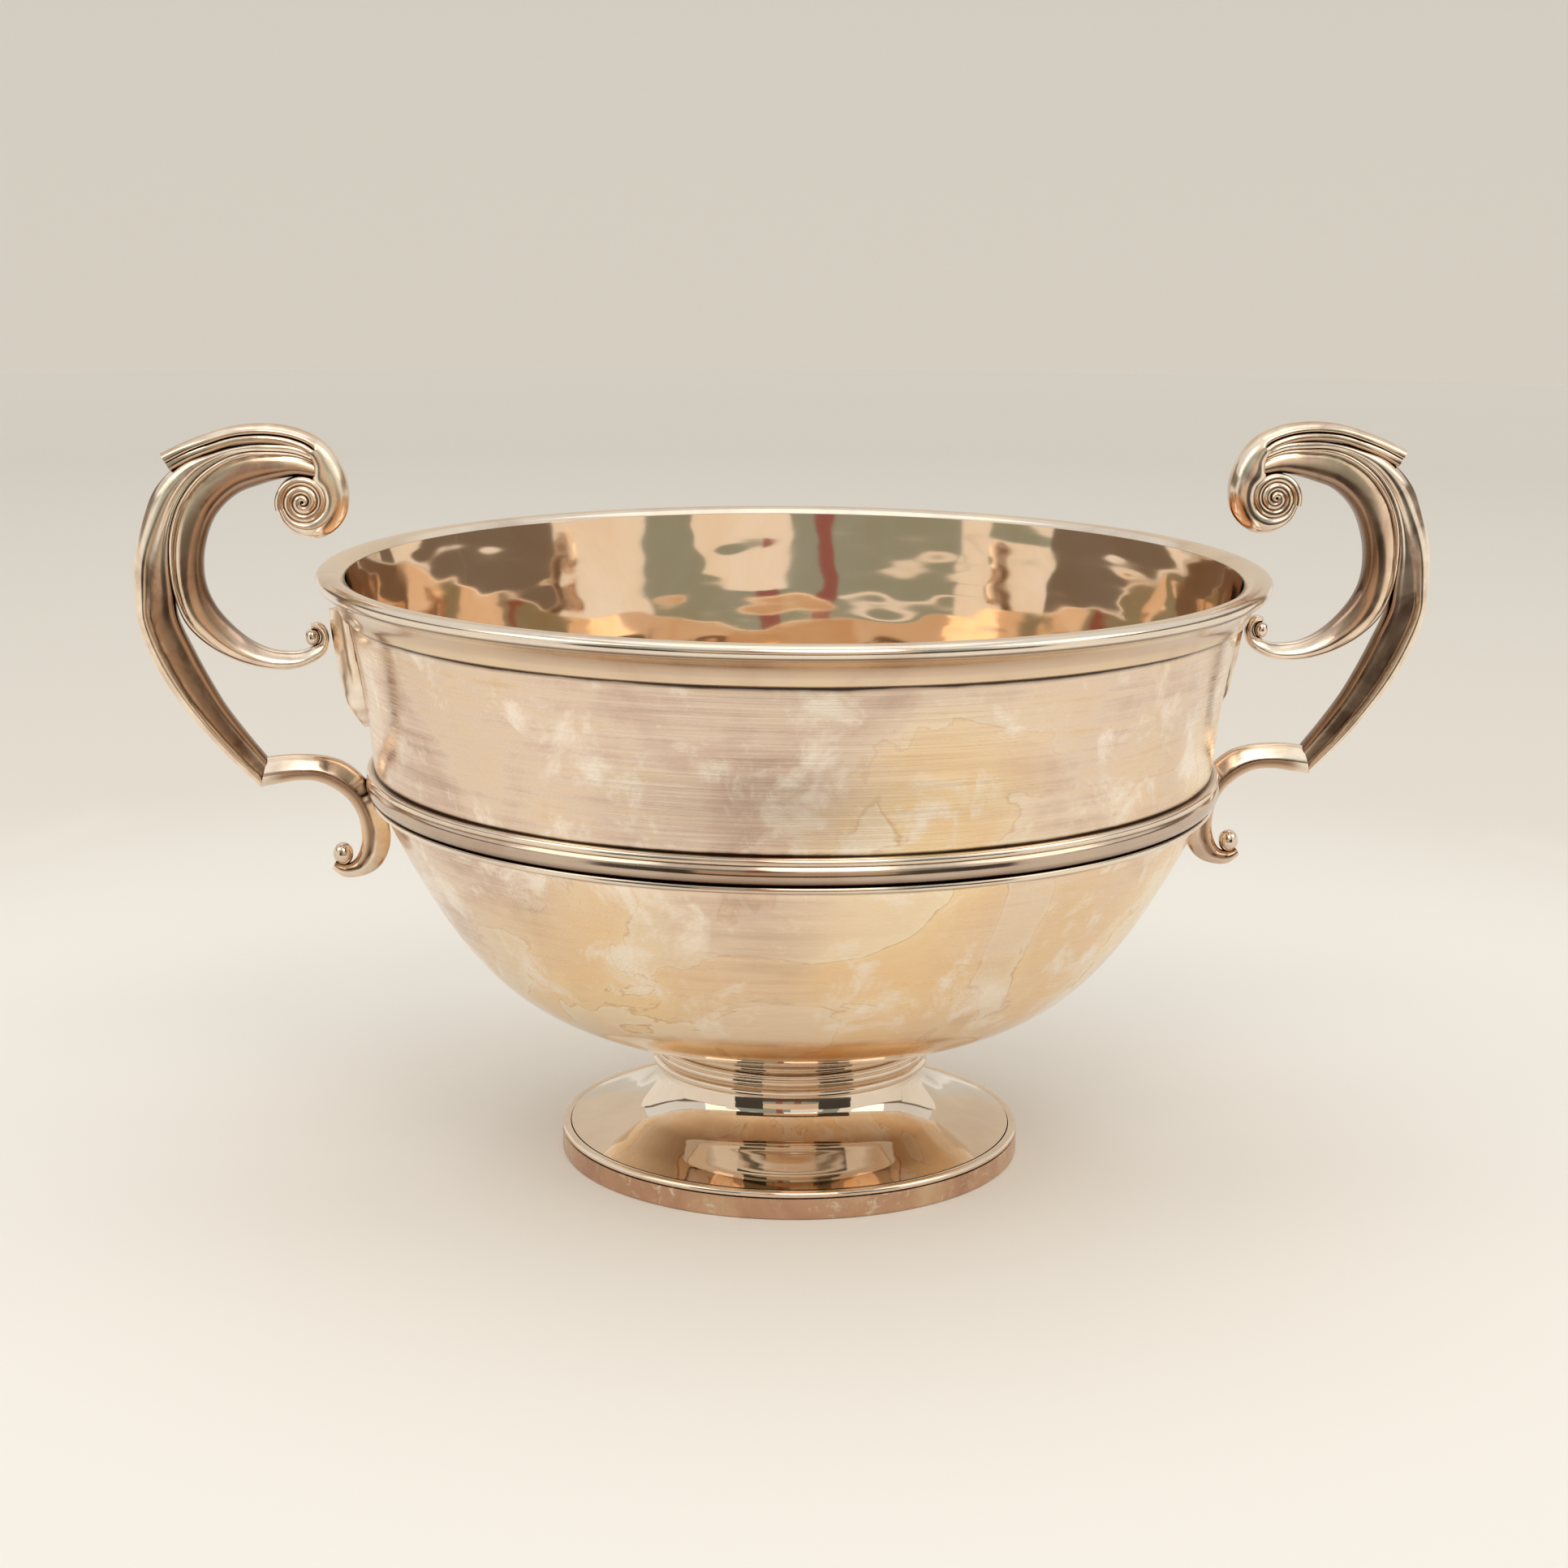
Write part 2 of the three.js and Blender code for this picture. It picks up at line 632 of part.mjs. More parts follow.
for (const [side, angle] of [['right', 0], ['left', Math.PI]]) {
  const handle = new THREE.Group();
  handle.rotation.z = angle;
  for (const [name, geometry, finish] of handlePieces) {
    addPiece(handle, `${name}_${side}`, geometry, finish);
  }
  bowl.add(handle);
}

export default bowl;
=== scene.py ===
import math

import bmesh
import bpy
from mathutils import Matrix, Vector
from mathutils.geometry import interpolate_bezier


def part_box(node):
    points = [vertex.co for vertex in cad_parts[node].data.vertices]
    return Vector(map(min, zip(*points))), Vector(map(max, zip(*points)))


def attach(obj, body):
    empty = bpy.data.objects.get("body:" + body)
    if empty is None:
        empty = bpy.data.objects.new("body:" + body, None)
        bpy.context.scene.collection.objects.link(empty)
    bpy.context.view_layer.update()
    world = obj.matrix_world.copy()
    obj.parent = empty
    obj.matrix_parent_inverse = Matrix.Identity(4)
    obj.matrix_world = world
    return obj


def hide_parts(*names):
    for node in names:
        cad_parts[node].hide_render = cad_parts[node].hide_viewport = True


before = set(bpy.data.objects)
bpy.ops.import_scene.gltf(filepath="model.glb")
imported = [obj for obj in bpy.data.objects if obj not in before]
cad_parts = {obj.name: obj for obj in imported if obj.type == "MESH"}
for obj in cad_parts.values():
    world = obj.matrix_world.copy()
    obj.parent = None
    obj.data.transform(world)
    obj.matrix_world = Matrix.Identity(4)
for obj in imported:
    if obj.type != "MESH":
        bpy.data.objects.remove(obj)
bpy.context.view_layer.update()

# Camera
# It stands a little above the rim, and looks at the bowl with the left handle turned
# slightly towards it.
mm = 0.001
camera_distance = 812.3 * mm
camera_height = 279.15 * mm
camera_azimuth = math.radians(-5.743)
camera_aim = math.radians(-5.585)
camera_pitch = math.radians(12.371)
camera_roll = math.radians(0.469)
lens = bpy.data.cameras.new("camera")
lens.lens = 71.27
lens.sensor_width = 36.0
lens.shift_y = -0.0013
camera = bpy.data.objects.new("camera", lens)
bpy.context.scene.collection.objects.link(camera)
camera.matrix_world = (
    Matrix.Translation((
        camera_distance * math.sin(camera_azimuth),
        -camera_distance * math.cos(camera_azimuth),
        camera_height,
    ))
    @ Matrix.Rotation(camera_aim, 4, "Z")
    @ Matrix.Rotation(math.pi / 2 - camera_pitch, 4, "X")
    @ Matrix.Rotation(camera_roll, 4, "Z")
)
bpy.context.scene.camera = camera
bpy.context.scene.view_settings.view_transform = "Standard"

# Foot skirt
# An upright band of silver, soldered into a ring. The bowl stands on its lower edge,
# which years of sliding about have scratched.
skirt_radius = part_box("foot_skirt")[1][0] / mm
skirt_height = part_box("foot_skirt")[1][2] / mm
skirt_sheet = 1.4
skirt_inside = skirt_radius - skirt_sheet


def srgb(code):
    """A hex colour as linear red, green, blue and alpha."""
    parts = [int(code[i:i + 2], 16) / 255 for i in (0, 2, 4)]
    return [v / 12.92 if v <= 0.04045 else ((v + 0.055) / 1.055) ** 2.4 for v in parts] + [1.0]


def add_node(tree, kind, settings=None, inputs=None):
    """One node, with its settings, and each input set to a value or linked to a socket."""
    node = tree.nodes.new(kind)
    for name, value in (settings or {}).items():
        setattr(node, name, value)
    for name, value in (inputs or {}).items():
        if isinstance(value, bpy.types.NodeSocket):
            tree.links.new(value, node.inputs[name])
        else:
            node.inputs[name].default_value = value
    return node


def colour_stops(node, stops):
    """Sets a colour ramp's stops from pairs of place and hex colour."""
    ramp = node.color_ramp
    while len(ramp.elements) < len(stops):
        ramp.elements.new(0.5)
    for element, (place, code) in zip(ramp.elements, stops):
        element.position = place
        element.color = srgb(code)


def flowing(points, per_span):
    """A smooth line through a few points, with per_span steps from each to the next."""
    ends = [points[0] * 2 - points[1]] + list(points) + [points[-1] * 2 - points[-2]]
    line = []
    for i in range(1, len(ends) - 2):
        before, start, stop, after = ends[i - 1:i + 3]
        span = (stop - start).length
        first = (stop - before).normalized() * span / 3
        last = (after - start).normalized() * span / 3
        line += interpolate_bezier(start, start + first, stop - last, stop, per_span + 1)[:-1]
    return line + [ends[-2]]


def outline(*points):
    """Radius and height pairs in millimetres, as places in the XZ plane."""
    return [Vector((r * mm, 0, z * mm)) for r, z in points]


def turned(name, profile, steps=160):
    """A profile in the XZ plane, drawn point by point and spun round Z. It is closed,
    unless it starts and ends on the axis."""
    bpy.ops.object.select_all(action="DESELECT")
    bpy.ops.mesh.primitive_plane_add(size=mm)
    piece = bpy.context.object
    piece.name = name
    piece.data.name = name
    bpy.ops.object.mode_set(mode="EDIT")
    bpy.ops.mesh.merge(type="CENTER")
    bpy.ops.transform.translate(value=profile[0])
    on_axis = profile[0].x == 0 and profile[-1].x == 0
    for before, after in zip(profile, profile[1:] + ([] if on_axis else profile[:1])):
        bpy.ops.mesh.extrude_region_move(TRANSFORM_OT_translate={"value": after - before})
    bpy.ops.mesh.select_all(action="SELECT")
    bpy.ops.mesh.spin(steps=steps, angle=math.tau, center=(0, 0, 0), axis=(0, 0, 1))
    bpy.ops.mesh.select_all(action="SELECT")
    bpy.ops.mesh.remove_doubles(threshold=0.002 * mm)
    bpy.ops.mesh.normals_make_consistent(inside=False)
    bpy.ops.object.mode_set(mode="OBJECT")
    bpy.ops.object.shade_smooth_by_angle(angle=math.radians(32))
    return piece


def finish_piece(piece, material, slot, *nodes):
    """The piece gets its finish, rides on the bowl and takes the place of its solid."""
    piece.data.materials.append(material)
    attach(piece, "root")
    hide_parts(*nodes)


def silver_metal(name):
    """A bare sterling silver shader, with the piece's own coordinates to build on."""
    material = bpy.data.materials.new(name)
    material.use_nodes = True
    shader = material.node_tree.nodes["Principled BSDF"]
    shader.inputs["Metallic"].default_value = 1.0
    place = add_node(material.node_tree, "ShaderNodeTexCoord").outputs["Object"]
    return material, material.node_tree, shader, place


# Toned silver: rubbed, never polished, so a rose-brown tarnish stays on it, with scuffs
# about 5 mm long at all angles that show the bright metal
toned_silver, tree, shader, place = silver_metal("silver_toned_scuffed")
cloud = add_node(tree, "ShaderNodeTexNoise", inputs={
    "Vector": place, "Scale": 45.0, "Detail": 5.0, "Roughness": 0.6, "Distortion": 0.6})
tone = add_node(tree, "ShaderNodeValToRGB", inputs={"Fac": cloud.outputs["Fac"]})
colour_stops(tone, [(0.3, "b8917b"), (0.5, "cda78b"), (0.7, "dcc0a0")])
scuff = add_node(tree, "ShaderNodeTexNoise", inputs={
    "Vector": place, "Scale": 210.0, "Detail": 6.0, "Roughness": 0.75, "Distortion": 1.2})
worn = add_node(tree, "ShaderNodeValToRGB", inputs={"Fac": scuff.outputs["Fac"]})
colour_stops(worn, [(0.56, "000000"), (0.68, "ffffff")])
skin = add_node(tree, "ShaderNodeMix", {"data_type": "RGBA"}, {
    "Factor": worn.outputs["Color"], "A": tone.outputs["Color"], "B": srgb("eadfc9")})
tree.links.new(skin.outputs["Result"], shader.inputs["Base Color"])
gloss = add_node(tree, "ShaderNodeMapRange", inputs={
    "Value": cloud.outputs["Fac"], "From Min": 0.3, "From Max": 0.7,
    "To Min": 0.16, "To Max": 0.34})
tree.links.new(gloss.outputs["Result"], shader.inputs["Roughness"])
relief = add_node(tree, "ShaderNodeBump", inputs={
    "Height": scuff.outputs["Fac"], "Strength": 1.0, "Distance": 0.03 * mm})
tree.links.new(relief.outputs["Normal"], shader.inputs["Normal"])
skirt_edge = flowing(outline(
    (skirt_radius - 0.5, 0), (skirt_radius - 0.1, 0.25), (skirt_radius, 0.8)), 3)
skirt = turned("skirt_band", outline((skirt_inside, 0.2), (skirt_inside + 0.2, 0)) + skirt_edge
               + outline((skirt_radius, skirt_height), (skirt_inside, skirt_height)))
finish_piece(skirt, toned_silver, "silver_toned", "foot_skirt")

# Edge wire
# A half-round wire that covers the joint between the foot's dome and its skirt. It is
# rubbed bright where it stands proud.

# Mirror silver: buffed with a mop and hardly tarnished, so it shows all that stands
# round it in clear shapes, and warms them a little
polished_silver, tree, shader, place = silver_metal("silver_mirror_polished")
cloud = add_node(tree, "ShaderNodeTexNoise", inputs={
    "Vector": place, "Scale": 30.0, "Detail": 4.0, "Roughness": 0.6})
tone = add_node(tree, "ShaderNodeValToRGB", inputs={"Fac": cloud.outputs["Fac"]})
colour_stops(tone, [(0.35, "ecdfd0"), (0.7, "dccab6")])
tree.links.new(tone.outputs["Color"], shader.inputs["Base Color"])
gloss = add_node(tree, "ShaderNodeMapRange", inputs={
    "Value": cloud.outputs["Fac"], "From Min": 0.3, "From Max": 0.7,
    "To Min": 0.02, "To Max": 0.07})
tree.links.new(gloss.outputs["Result"], shader.inputs["Roughness"])
# The polishing mop leaves a soft unevenness about 25 mm across
mop = add_node(tree, "ShaderNodeTexNoise", inputs={
    "Vector": place, "Scale": 40.0, "Detail": 1.0, "Roughness": 0.4})
relief = add_node(tree, "ShaderNodeBump", inputs={
    "Height": mop.outputs["Fac"], "Strength": 1.0, "Distance": 0.008 * mm})
tree.links.new(relief.outputs["Normal"], shader.inputs["Normal"])
edge = turned("edge_wire", outline((59.7, 5.75), (61.6, 5.75)) + flowing(outline(
    (61.9, 6), (62.05, 6.6), (61.7, 7.2), (60.9, 7.5), (60.1, 7.45), (59.7, 7.2)), 4))
finish_piece(edge, polished_silver, "silver_polished", "foot_edge_wire")

# Foot dome
# Spun from one sheet of silver: a ledge inside the edge wire, a low spreading dome, the
# neck, and a flange that opens again under the bowl and is soldered to it.
dome_outside = flowing(outline(
    (59.6, 7.4), (55, 8.9), (50, 10.4), (46, 11.8), (43, 13.1), (40.5, 14.8), (38, 17.3),
    (36.2, 20), (35.4, 22.2)), 8) + outline(
    (35.4, 30)) + flowing(outline((36.4, 31), (37.4, 32.5), (39.9, 33.6)), 6)
dome_inside = [point + Vector((-1.1 * mm, 0, -0.5 * mm)) for point in reversed(dome_outside[:-1])]
dome = turned("foot_dome_spun", dome_outside + dome_inside)
finish_piece(dome, polished_silver, "silver_polished", "foot_dome")

# Collar
# Reeded wire, drawn with two fine reeds over one bold roll, wrapped round the neck and
# soldered. It is polished with the foot.
collar = turned("collar_reeded", outline((35.5, 30.2), (36.1, 30.4)) + flowing(outline(
    (36.6, 30.3), (37, 29.8), (36.9, 29.3), (36.4, 28.9)), 5) + flowing(outline(
    (36.9, 28.5), (37, 28), (36.8, 27.5), (36.2, 27.1)), 5) + flowing(outline(
    (37, 26.8), (37.6, 26), (37.5, 25), (36.7, 24.2), (35.5, 24)), 6))
finish_piece(collar, polished_silver, "silver_polished", "foot_collar")

# Bowl
# Raised by hammer from one sheet and planished. The outside has a satin skin of fine
# scratches and straw-coloured tarnish; the inside keeps its mirror polish.
bowl_sheet = 1.3 * mm
bowl_steps = 192
seat = Vector((40, 0, 33.9)) * mm
girdle_foot = Vector((109.6, 0, 98.5)) * mm
lower_start = seat + Vector((1, 0, 0.335)).normalized() * 27.4 * mm
lower_end = girdle_foot - Vector((1, 0, 2.15)).normalized() * 63.8 * mm
bowl_outside = (
    flowing(outline((0, 27.2), (12, 27.4), (24, 29), (40, 33.9)), 6)[:-1]
    + interpolate_bezier(seat, lower_start, lower_end, girdle_foot, 48)
    + flowing(outline((110.9, 107.4), (113.3, 128), (117.2, 148.7), (118.9, 157.6)), 8)
)


def pushed_in(line, distance):
    """The same line, moved to its left as it runs outward and upward."""
    moved = []
    for i, point in enumerate(line):
        along = (line[min(i + 1, len(line) - 1)] - line[max(i - 1, 0)]).normalized()
        moved.append(point + Vector((-along.z, 0, along.x)) * distance)
        moved[-1].x = max(moved[-1].x, 0) if i else 0
    return moved


# Satin silver: polished once, then rubbed with cloths for years, so reflections blur
# along fine scratches, under clouds and stains of tarnish
satin_silver, tree, shader, place = silver_metal("silver_satin_tarnished_painted_shade")
# Rubbed metal: cream and rose-grey clouds 20 to 40 mm across, with fainter streaks
# round the bowl where cloths have rubbed it
blotch = add_node(tree, "ShaderNodeTexNoise", inputs={
    "Vector": place, "Scale": 26.0, "Detail": 6.0, "Roughness": 0.58, "Distortion": 0.5})
around_it = add_node(tree, "ShaderNodeMapping", inputs={
    "Vector": place, "Scale": (14.0, 14.0, 420.0)})
streak = add_node(tree, "ShaderNodeTexNoise", inputs={
    "Vector": around_it.outputs["Vector"], "Scale": 1.0, "Detail": 5.0, "Roughness": 0.7})
mixed = add_node(tree, "ShaderNodeMix", inputs={
    "Factor": 0.4, "A": blotch.outputs["Fac"], "B": streak.outputs["Fac"]})
rubbed = add_node(tree, "ShaderNodeValToRGB", inputs={"Fac": mixed.outputs["Result"]})
colour_stops(rubbed, [
    (0.36, "c8afa0"), (0.44, "dfc5b4"), (0.5, "ead5c3"), (0.56, "ecd4bb"), (0.64, "e2c5a6")])
# Dried stains, 20 to 60 mm across: straw-coloured patches with a thin brown edge
warp = add_node(tree, "ShaderNodeTexNoise", inputs={
    "Vector": place, "Scale": 19.0, "Detail": 6.0, "Roughness": 0.52, "Distortion": 1.4})
stain = add_node(tree, "ShaderNodeValToRGB", inputs={"Fac": warp.outputs["Fac"]})
colour_stops(stain, [
    (0.42, "fbe6c4"), (0.488, "ffefd0"), (0.497, "dfb98f"), (0.508, "fde2b4"), (0.6, "fad9aa")])
bloom = add_node(tree, "ShaderNodeTexNoise", inputs={
    "Vector": place, "Scale": 8.0, "Detail": 2.0, "Roughness": 0.5, "Distortion": 0.6})
height = add_node(tree, "ShaderNodeSeparateXYZ", inputs={"Vector": place})
low = add_node(tree, "ShaderNodeMapRange", inputs={
    "Value": height.outputs["Z"], "From Min": 40 * mm, "From Max": 160 * mm,
    "To Min": 0.16, "To Max": -0.13})
spread = add_node(tree, "ShaderNodeMath", {"operation": "ADD"}, {
    0: bloom.outputs["Fac"], 1: low.outputs["Result"]})
stained = add_node(tree, "ShaderNodeMapRange", inputs={
    "Value": spread.outputs["Value"], "From Min": 0.42, "From Max": 0.62,
    "To Min": 0.05, "To Max": 0.85})
skin = add_node(tree, "ShaderNodeMix", {"data_type": "RGBA"}, {
    "Factor": stained.outputs["Result"], "A": rubbed.outputs["Color"], "B": stain.outputs["Color"]})
# Pale scuffs, 5 to 20 mm across, where the tarnish has been rubbed off again
rub = add_node(tree, "ShaderNodeTexNoise", inputs={
    "Vector": place, "Scale": 55.0, "Detail": 9.0, "Roughness": 0.7, "Distortion": 0.4})
scuffed = add_node(tree, "ShaderNodeMapRange", inputs={
    "Value": rub.outputs["Fac"], "From Min": 0.52, "From Max": 0.64, "To Max": 0.85})
pale = add_node(tree, "ShaderNodeMix", {"data_type": "RGBA"}, {
    "Factor": scuffed.outputs["Result"], "A": skin.outputs["Result"], "B": srgb("fff4e6")})
# Painted shade, with the tarnish that no cloth reaches: thin dark lines against the rim and girdle,
# and a darker band just above the foot
ragged = add_node(tree, "ShaderNodeMapRange", inputs={
    "Value": blotch.outputs["Fac"], "From Min": 0.3, "From Max": 0.7,
    "To Min": -0.35 * mm, "To Max": 0.35 * mm})
level = add_node(tree, "ShaderNodeMath", {"operation": "ADD"}, {
    0: height.outputs["Z"], 1: ragged.outputs["Result"]})
band = add_node(tree, "ShaderNodeMapRange", inputs={
    "Value": level.outputs["Value"], "From Min": 30 * mm, "From Max": 160 * mm})
lines = add_node(tree, "ShaderNodeValToRGB", inputs={"Fac": band.outputs["Result"]})
colour_stops(lines, [
    (0.03, "b8a497"), (0.06, "ece2da"), (0.14, "ffffff"), (0.521, "ffffff"), (0.525, "6b5a4b"),
    (0.598, "6a5c50"), (0.602, "ffffff"), (0.905, "ffffff"), (0.909, "4c4644")])
skin_with_painted_light = add_node(tree, "ShaderNodeMix", {"data_type": "RGBA", "blend_type": "MULTIPLY"}, {
    "Factor": 1.0, "A": pale.outputs["Result"], "B": lines.outputs["Color"]})
tree.links.new(skin_with_painted_light.outputs["Result"], shader.inputs["Base Color"])
# Hairline scratches run round the bowl. Real ones are a few hundredths of a millimetre
# apart; these are drawn about ten times as coarse, 0.4 mm, so that they show
fine = add_node(tree, "ShaderNodeMapping", inputs={
    "Vector": place, "Scale": (25.0, 25.0, 2600.0)})
hair = add_node(tree, "ShaderNodeTexNoise", inputs={
    "Vector": fine.outputs["Vector"], "Scale": 1.0, "Detail": 4.0, "Roughness": 0.65})
gloss = add_node(tree, "ShaderNodeMapRange", inputs={
    "Value": hair.outputs["Fac"], "From Min": 0.3, "From Max": 0.7,
    "To Min": 0.12, "To Max": 0.34})
# Close to the foot, where nothing rubs it, it is still as smooth as a mirror
sheltered = add_node(tree, "ShaderNodeMapRange", {"interpolation_type": "SMOOTHSTEP"}, {
    "Value": height.outputs["Z"], "From Min": 36 * mm, "From Max": 62 * mm,
    "To Min": 0.2, "To Max": 1.0})
dulled = add_node(tree, "ShaderNodeMath", {"operation": "MULTIPLY"}, {
    0: gloss.outputs["Result"], 1: sheltered.outputs["Result"]})
tree.links.new(dulled.outputs["Value"], shader.inputs["Roughness"])
wave = add_node(tree, "ShaderNodeTexNoise", inputs={
    "Vector": place, "Scale": 45.0, "Detail": 1.0, "Roughness": 0.4})
hammered = add_node(tree, "ShaderNodeBump", inputs={
    "Height": wave.outputs["Fac"], "Strength": 1.0, "Distance": 0.05 * mm})
scratched = add_node(tree, "ShaderNodeBump", inputs={
    "Height": hair.outputs["Fac"], "Strength": 1.0, "Distance": 0.006 * mm,
    "Normal": hammered.outputs["Normal"]})
tree.links.new(scratched.outputs["Normal"], shader.inputs["Normal"])

# Planished silver: the hammer's facets, 10 to 30 mm across, still bend what the inside
# reflects, under a mirror polish that has yellowed
mirror_silver, tree, shader, place = silver_metal("silver_planished_mirror")
cloud = add_node(tree, "ShaderNodeTexNoise", inputs={
    "Vector": place, "Scale": 16.0, "Detail": 5.0, "Roughness": 0.6, "Distortion": 0.8})
tone = add_node(tree, "ShaderNodeValToRGB", inputs={"Fac": cloud.outputs["Fac"]})
colour_stops(tone, [(0.35, "f4dcc4"), (0.6, "ecccaa")])
tree.links.new(tone.outputs["Color"], shader.inputs["Base Color"])
shader.inputs["Roughness"].default_value = 0.07
flattened = add_node(tree, "ShaderNodeMapping", inputs={
    "Vector": place, "Scale": (34.0, 34.0, 80.0)})
blow = add_node(tree, "ShaderNodeTexNoise", inputs={
    "Vector": flattened.outputs["Vector"], "Scale": 1.0, "Detail": 1.2, "Roughness": 0.4})
planished = add_node(tree, "ShaderNodeBump", inputs={
    "Height": blow.outputs["Fac"], "Strength": 1.0, "Distance": 0.8 * mm})
tree.links.new(planished.outputs["Normal"], shader.inputs["Normal"])
bowl_inside = pushed_in(bowl_outside, bowl_sheet)
shell = turned("bowl_raised", bowl_outside + list(reversed(bowl_inside)), bowl_steps)
finish_piece(shell, satin_silver, "silver_satin", "bowl_shell")
shell.data.materials.append(mirror_silver)
for face in shell.data.polygons:
    outward = Vector((face.center.x, face.center.y, 0))
    inside = face.normal.dot(outward) < 0 or (outward.length < 30 * mm and face.normal.z > 0)
    face.material_index = 1 if inside else 0

# Rim moulding
# A drawn moulding soldered round the lip: a rolled edge, a face that falls back in a
# shallow hollow, and a narrow fillet on the wall.

# Drawn silver: bright and smooth from the drawplate, worn to a soft polish; its quirks get painted
# shade from ambient occlusion, which also stands in for the tarnish left there
drawn_silver, tree, shader, place = silver_metal("silver_drawn_worn_painted_light")
cloud = add_node(tree, "ShaderNodeTexNoise", inputs={
    "Vector": place, "Scale": 24.0, "Detail": 5.0, "Roughness": 0.62, "Distortion": 0.5})
tone = add_node(tree, "ShaderNodeValToRGB", inputs={"Fac": cloud.outputs["Fac"]})
colour_stops(tone, [(0.3, "d9c4b2"), (0.5, "ecdfd0"), (0.7, "f4e6d0")])
height = add_node(tree, "ShaderNodeSeparateXYZ", inputs={"Vector": place})
# Painted reflection and shade round the girdle, by height: dark lines at its edges and quirks, and
# a darker half-round where it reflects the dark room
band = add_node(tree, "ShaderNodeMapRange", inputs={
    "Value": height.outputs["Z"], "From Min": 98 * mm, "From Max": 108 * mm})
lines = add_node(tree, "ShaderNodeValToRGB", inputs={"Fac": band.outputs["Result"]})
colour_stops(lines, [
    (0.04, "8a7664"), (0.08, "ffffff"), (0.22, "ffffff"), (0.26, "564a42"), (0.3, "93857b"),
    (0.42, "d2c8c2"), (0.64, "dad0ca"), (0.7, "fffaf4"), (0.93, "ffffff"), (0.96, "a8988a")])
# Painted shade: darker in quirks and between parts, from ambient occlusion
shade = add_node(tree, "ShaderNodeAmbientOcclusion", {"samples": 8}, {"Distance": 2 * mm})
crevice_shade = add_node(tree, "ShaderNodeValToRGB", inputs={"Fac": shade.outputs["AO"]})
colour_stops(crevice_shade, [(0.35, "3e332b"), (0.6, "9c8672"), (0.85, "ffffff")])
lined = add_node(tree, "ShaderNodeMix", {"data_type": "RGBA", "blend_type": "MULTIPLY"}, {
    "Factor": 1.0, "A": tone.outputs["Color"], "B": crevice_shade.outputs["Color"]})
# Painted reflection and shade round the rim, by height: dark lines at its fillet and under its
# roll, and a darker band on the hollow face where it reflects the floor
rim_band = add_node(tree, "ShaderNodeMapRange", inputs={
    "Value": height.outputs["Z"], "From Min": 148 * mm, "From Max": 160 * mm})
rim_painted_light = add_node(tree, "ShaderNodeValToRGB", inputs={"Fac": rim_band.outputs["Result"]})
colour_stops(rim_painted_light, [
    (0.08, "5c4d42"), (0.12, "f6ead8"), (0.24, "f2e6d8"), (0.3, "e8dace"), (0.52, "e2d2c4"),
    (0.58, "f4e2c8"), (0.66, "dccec0"), (0.7, "8f7d70"), (0.74, "ffffff")])
in_girdle = add_node(tree, "ShaderNodeMath", {"operation": "LESS_THAN"}, {
    0: height.outputs["Z"], 1: 120 * mm})
either = add_node(tree, "ShaderNodeMix", {"data_type": "RGBA"}, {
    "Factor": in_girdle.outputs["Value"],
    "A": rim_painted_light.outputs["Color"], "B": lines.outputs["Color"]})
skin_with_painted_light = add_node(tree, "ShaderNodeMix", {"data_type": "RGBA", "blend_type": "MULTIPLY"}, {
    "Factor": 1.0, "A": lined.outputs["Result"], "B": either.outputs["Result"]})
tree.links.new(skin_with_painted_light.outputs["Result"], shader.inputs["Base Color"])
gloss = add_node(tree, "ShaderNodeMapRange", inputs={
    "Value": cloud.outputs["Fac"], "From Min": 0.3, "From Max": 0.7,
    "To Min": 0.1, "To Max": 0.22})
tree.links.new(gloss.outputs["Result"], shader.inputs["Roughness"])
rim = turned("rim_drawn", outline((117.3, 148.9), (118.6, 148.9)) + flowing(outline(
    (119.2, 149.3), (119.6, 150.3), (120, 151.4), (120.7, 152.6), (121.9, 153.9), (123.2, 155.1),
    (124.3, 156.1), (124.9, 157), (125.1, 157.9), (124.7, 158.8), (123.7, 159.4), (122.1, 159.6),
    (120.3, 159.4), (119, 158.8), (118.1, 158), (117.7, 157.3)), 5) + outline(
    (118.2, 153)), bowl_steps)
finish_piece(rim, drawn_silver, "silver_satin", "rim_moulding")

# Girdle
# A strip of silver drawn as a narrow bead over a broad half-round, soldered round the
# middle of the bowl, with a fine wire soldered just under it.
half_round = flowing(outline(
    (111.9, 100.8), (112.7, 101.6), (113.15, 102.9), (113, 104.3), (112.4, 105.3)), 5)
bead = flowing(outline((112.7, 105.6), (113, 106.3), (112.6, 107.1), (111.6, 107.4)), 5)
girdle = turned("girdle_drawn", outline((110.7, 100.7)) + half_round + bead
                + outline((110.7, 107.4)), bowl_steps)
finish_piece(girdle, drawn_silver, "silver_satin", "girdle_moulding")
wire = turned("girdle_fine_wire", outline((109, 98.5)) + flowing(outline(
    (110.9, 98.4), (111.7, 98.9), (111.8, 99.6), (111.4, 100.2), (110.6, 100.5)), 5), bowl_steps)
finish_piece(wire, drawn_silver, "silver_satin", "girdle_lower_wire")

# Handle scrolls
# The two handles are cast in pieces and soldered up. The C-scroll lies inside the arm,
# and its curled lower end bears on the drop under the rim.
upper_joint = Vector((121.28, 0, 142)) * mm
lower_joint = Vector((113.2, 0, 102.95)) * mm


def above(out, up):
    """A place measured from the upper joint, outward and upward in millimetres."""
    return upper_joint + Vector((out, 0, up)) * mm


def below(out, up):
    """A place measured from the lower joint, outward and upward in millimetres."""
    return lower_joint + Vector((out, 0, up)) * mm


def around(centre, degrees, distance):
    """A place so many degrees round a centre, counted upward from its outer side."""
    angle = math.radians(degrees)
    return centre + Vector((math.cos(angle), 0, math.sin(angle))) * distance * mm


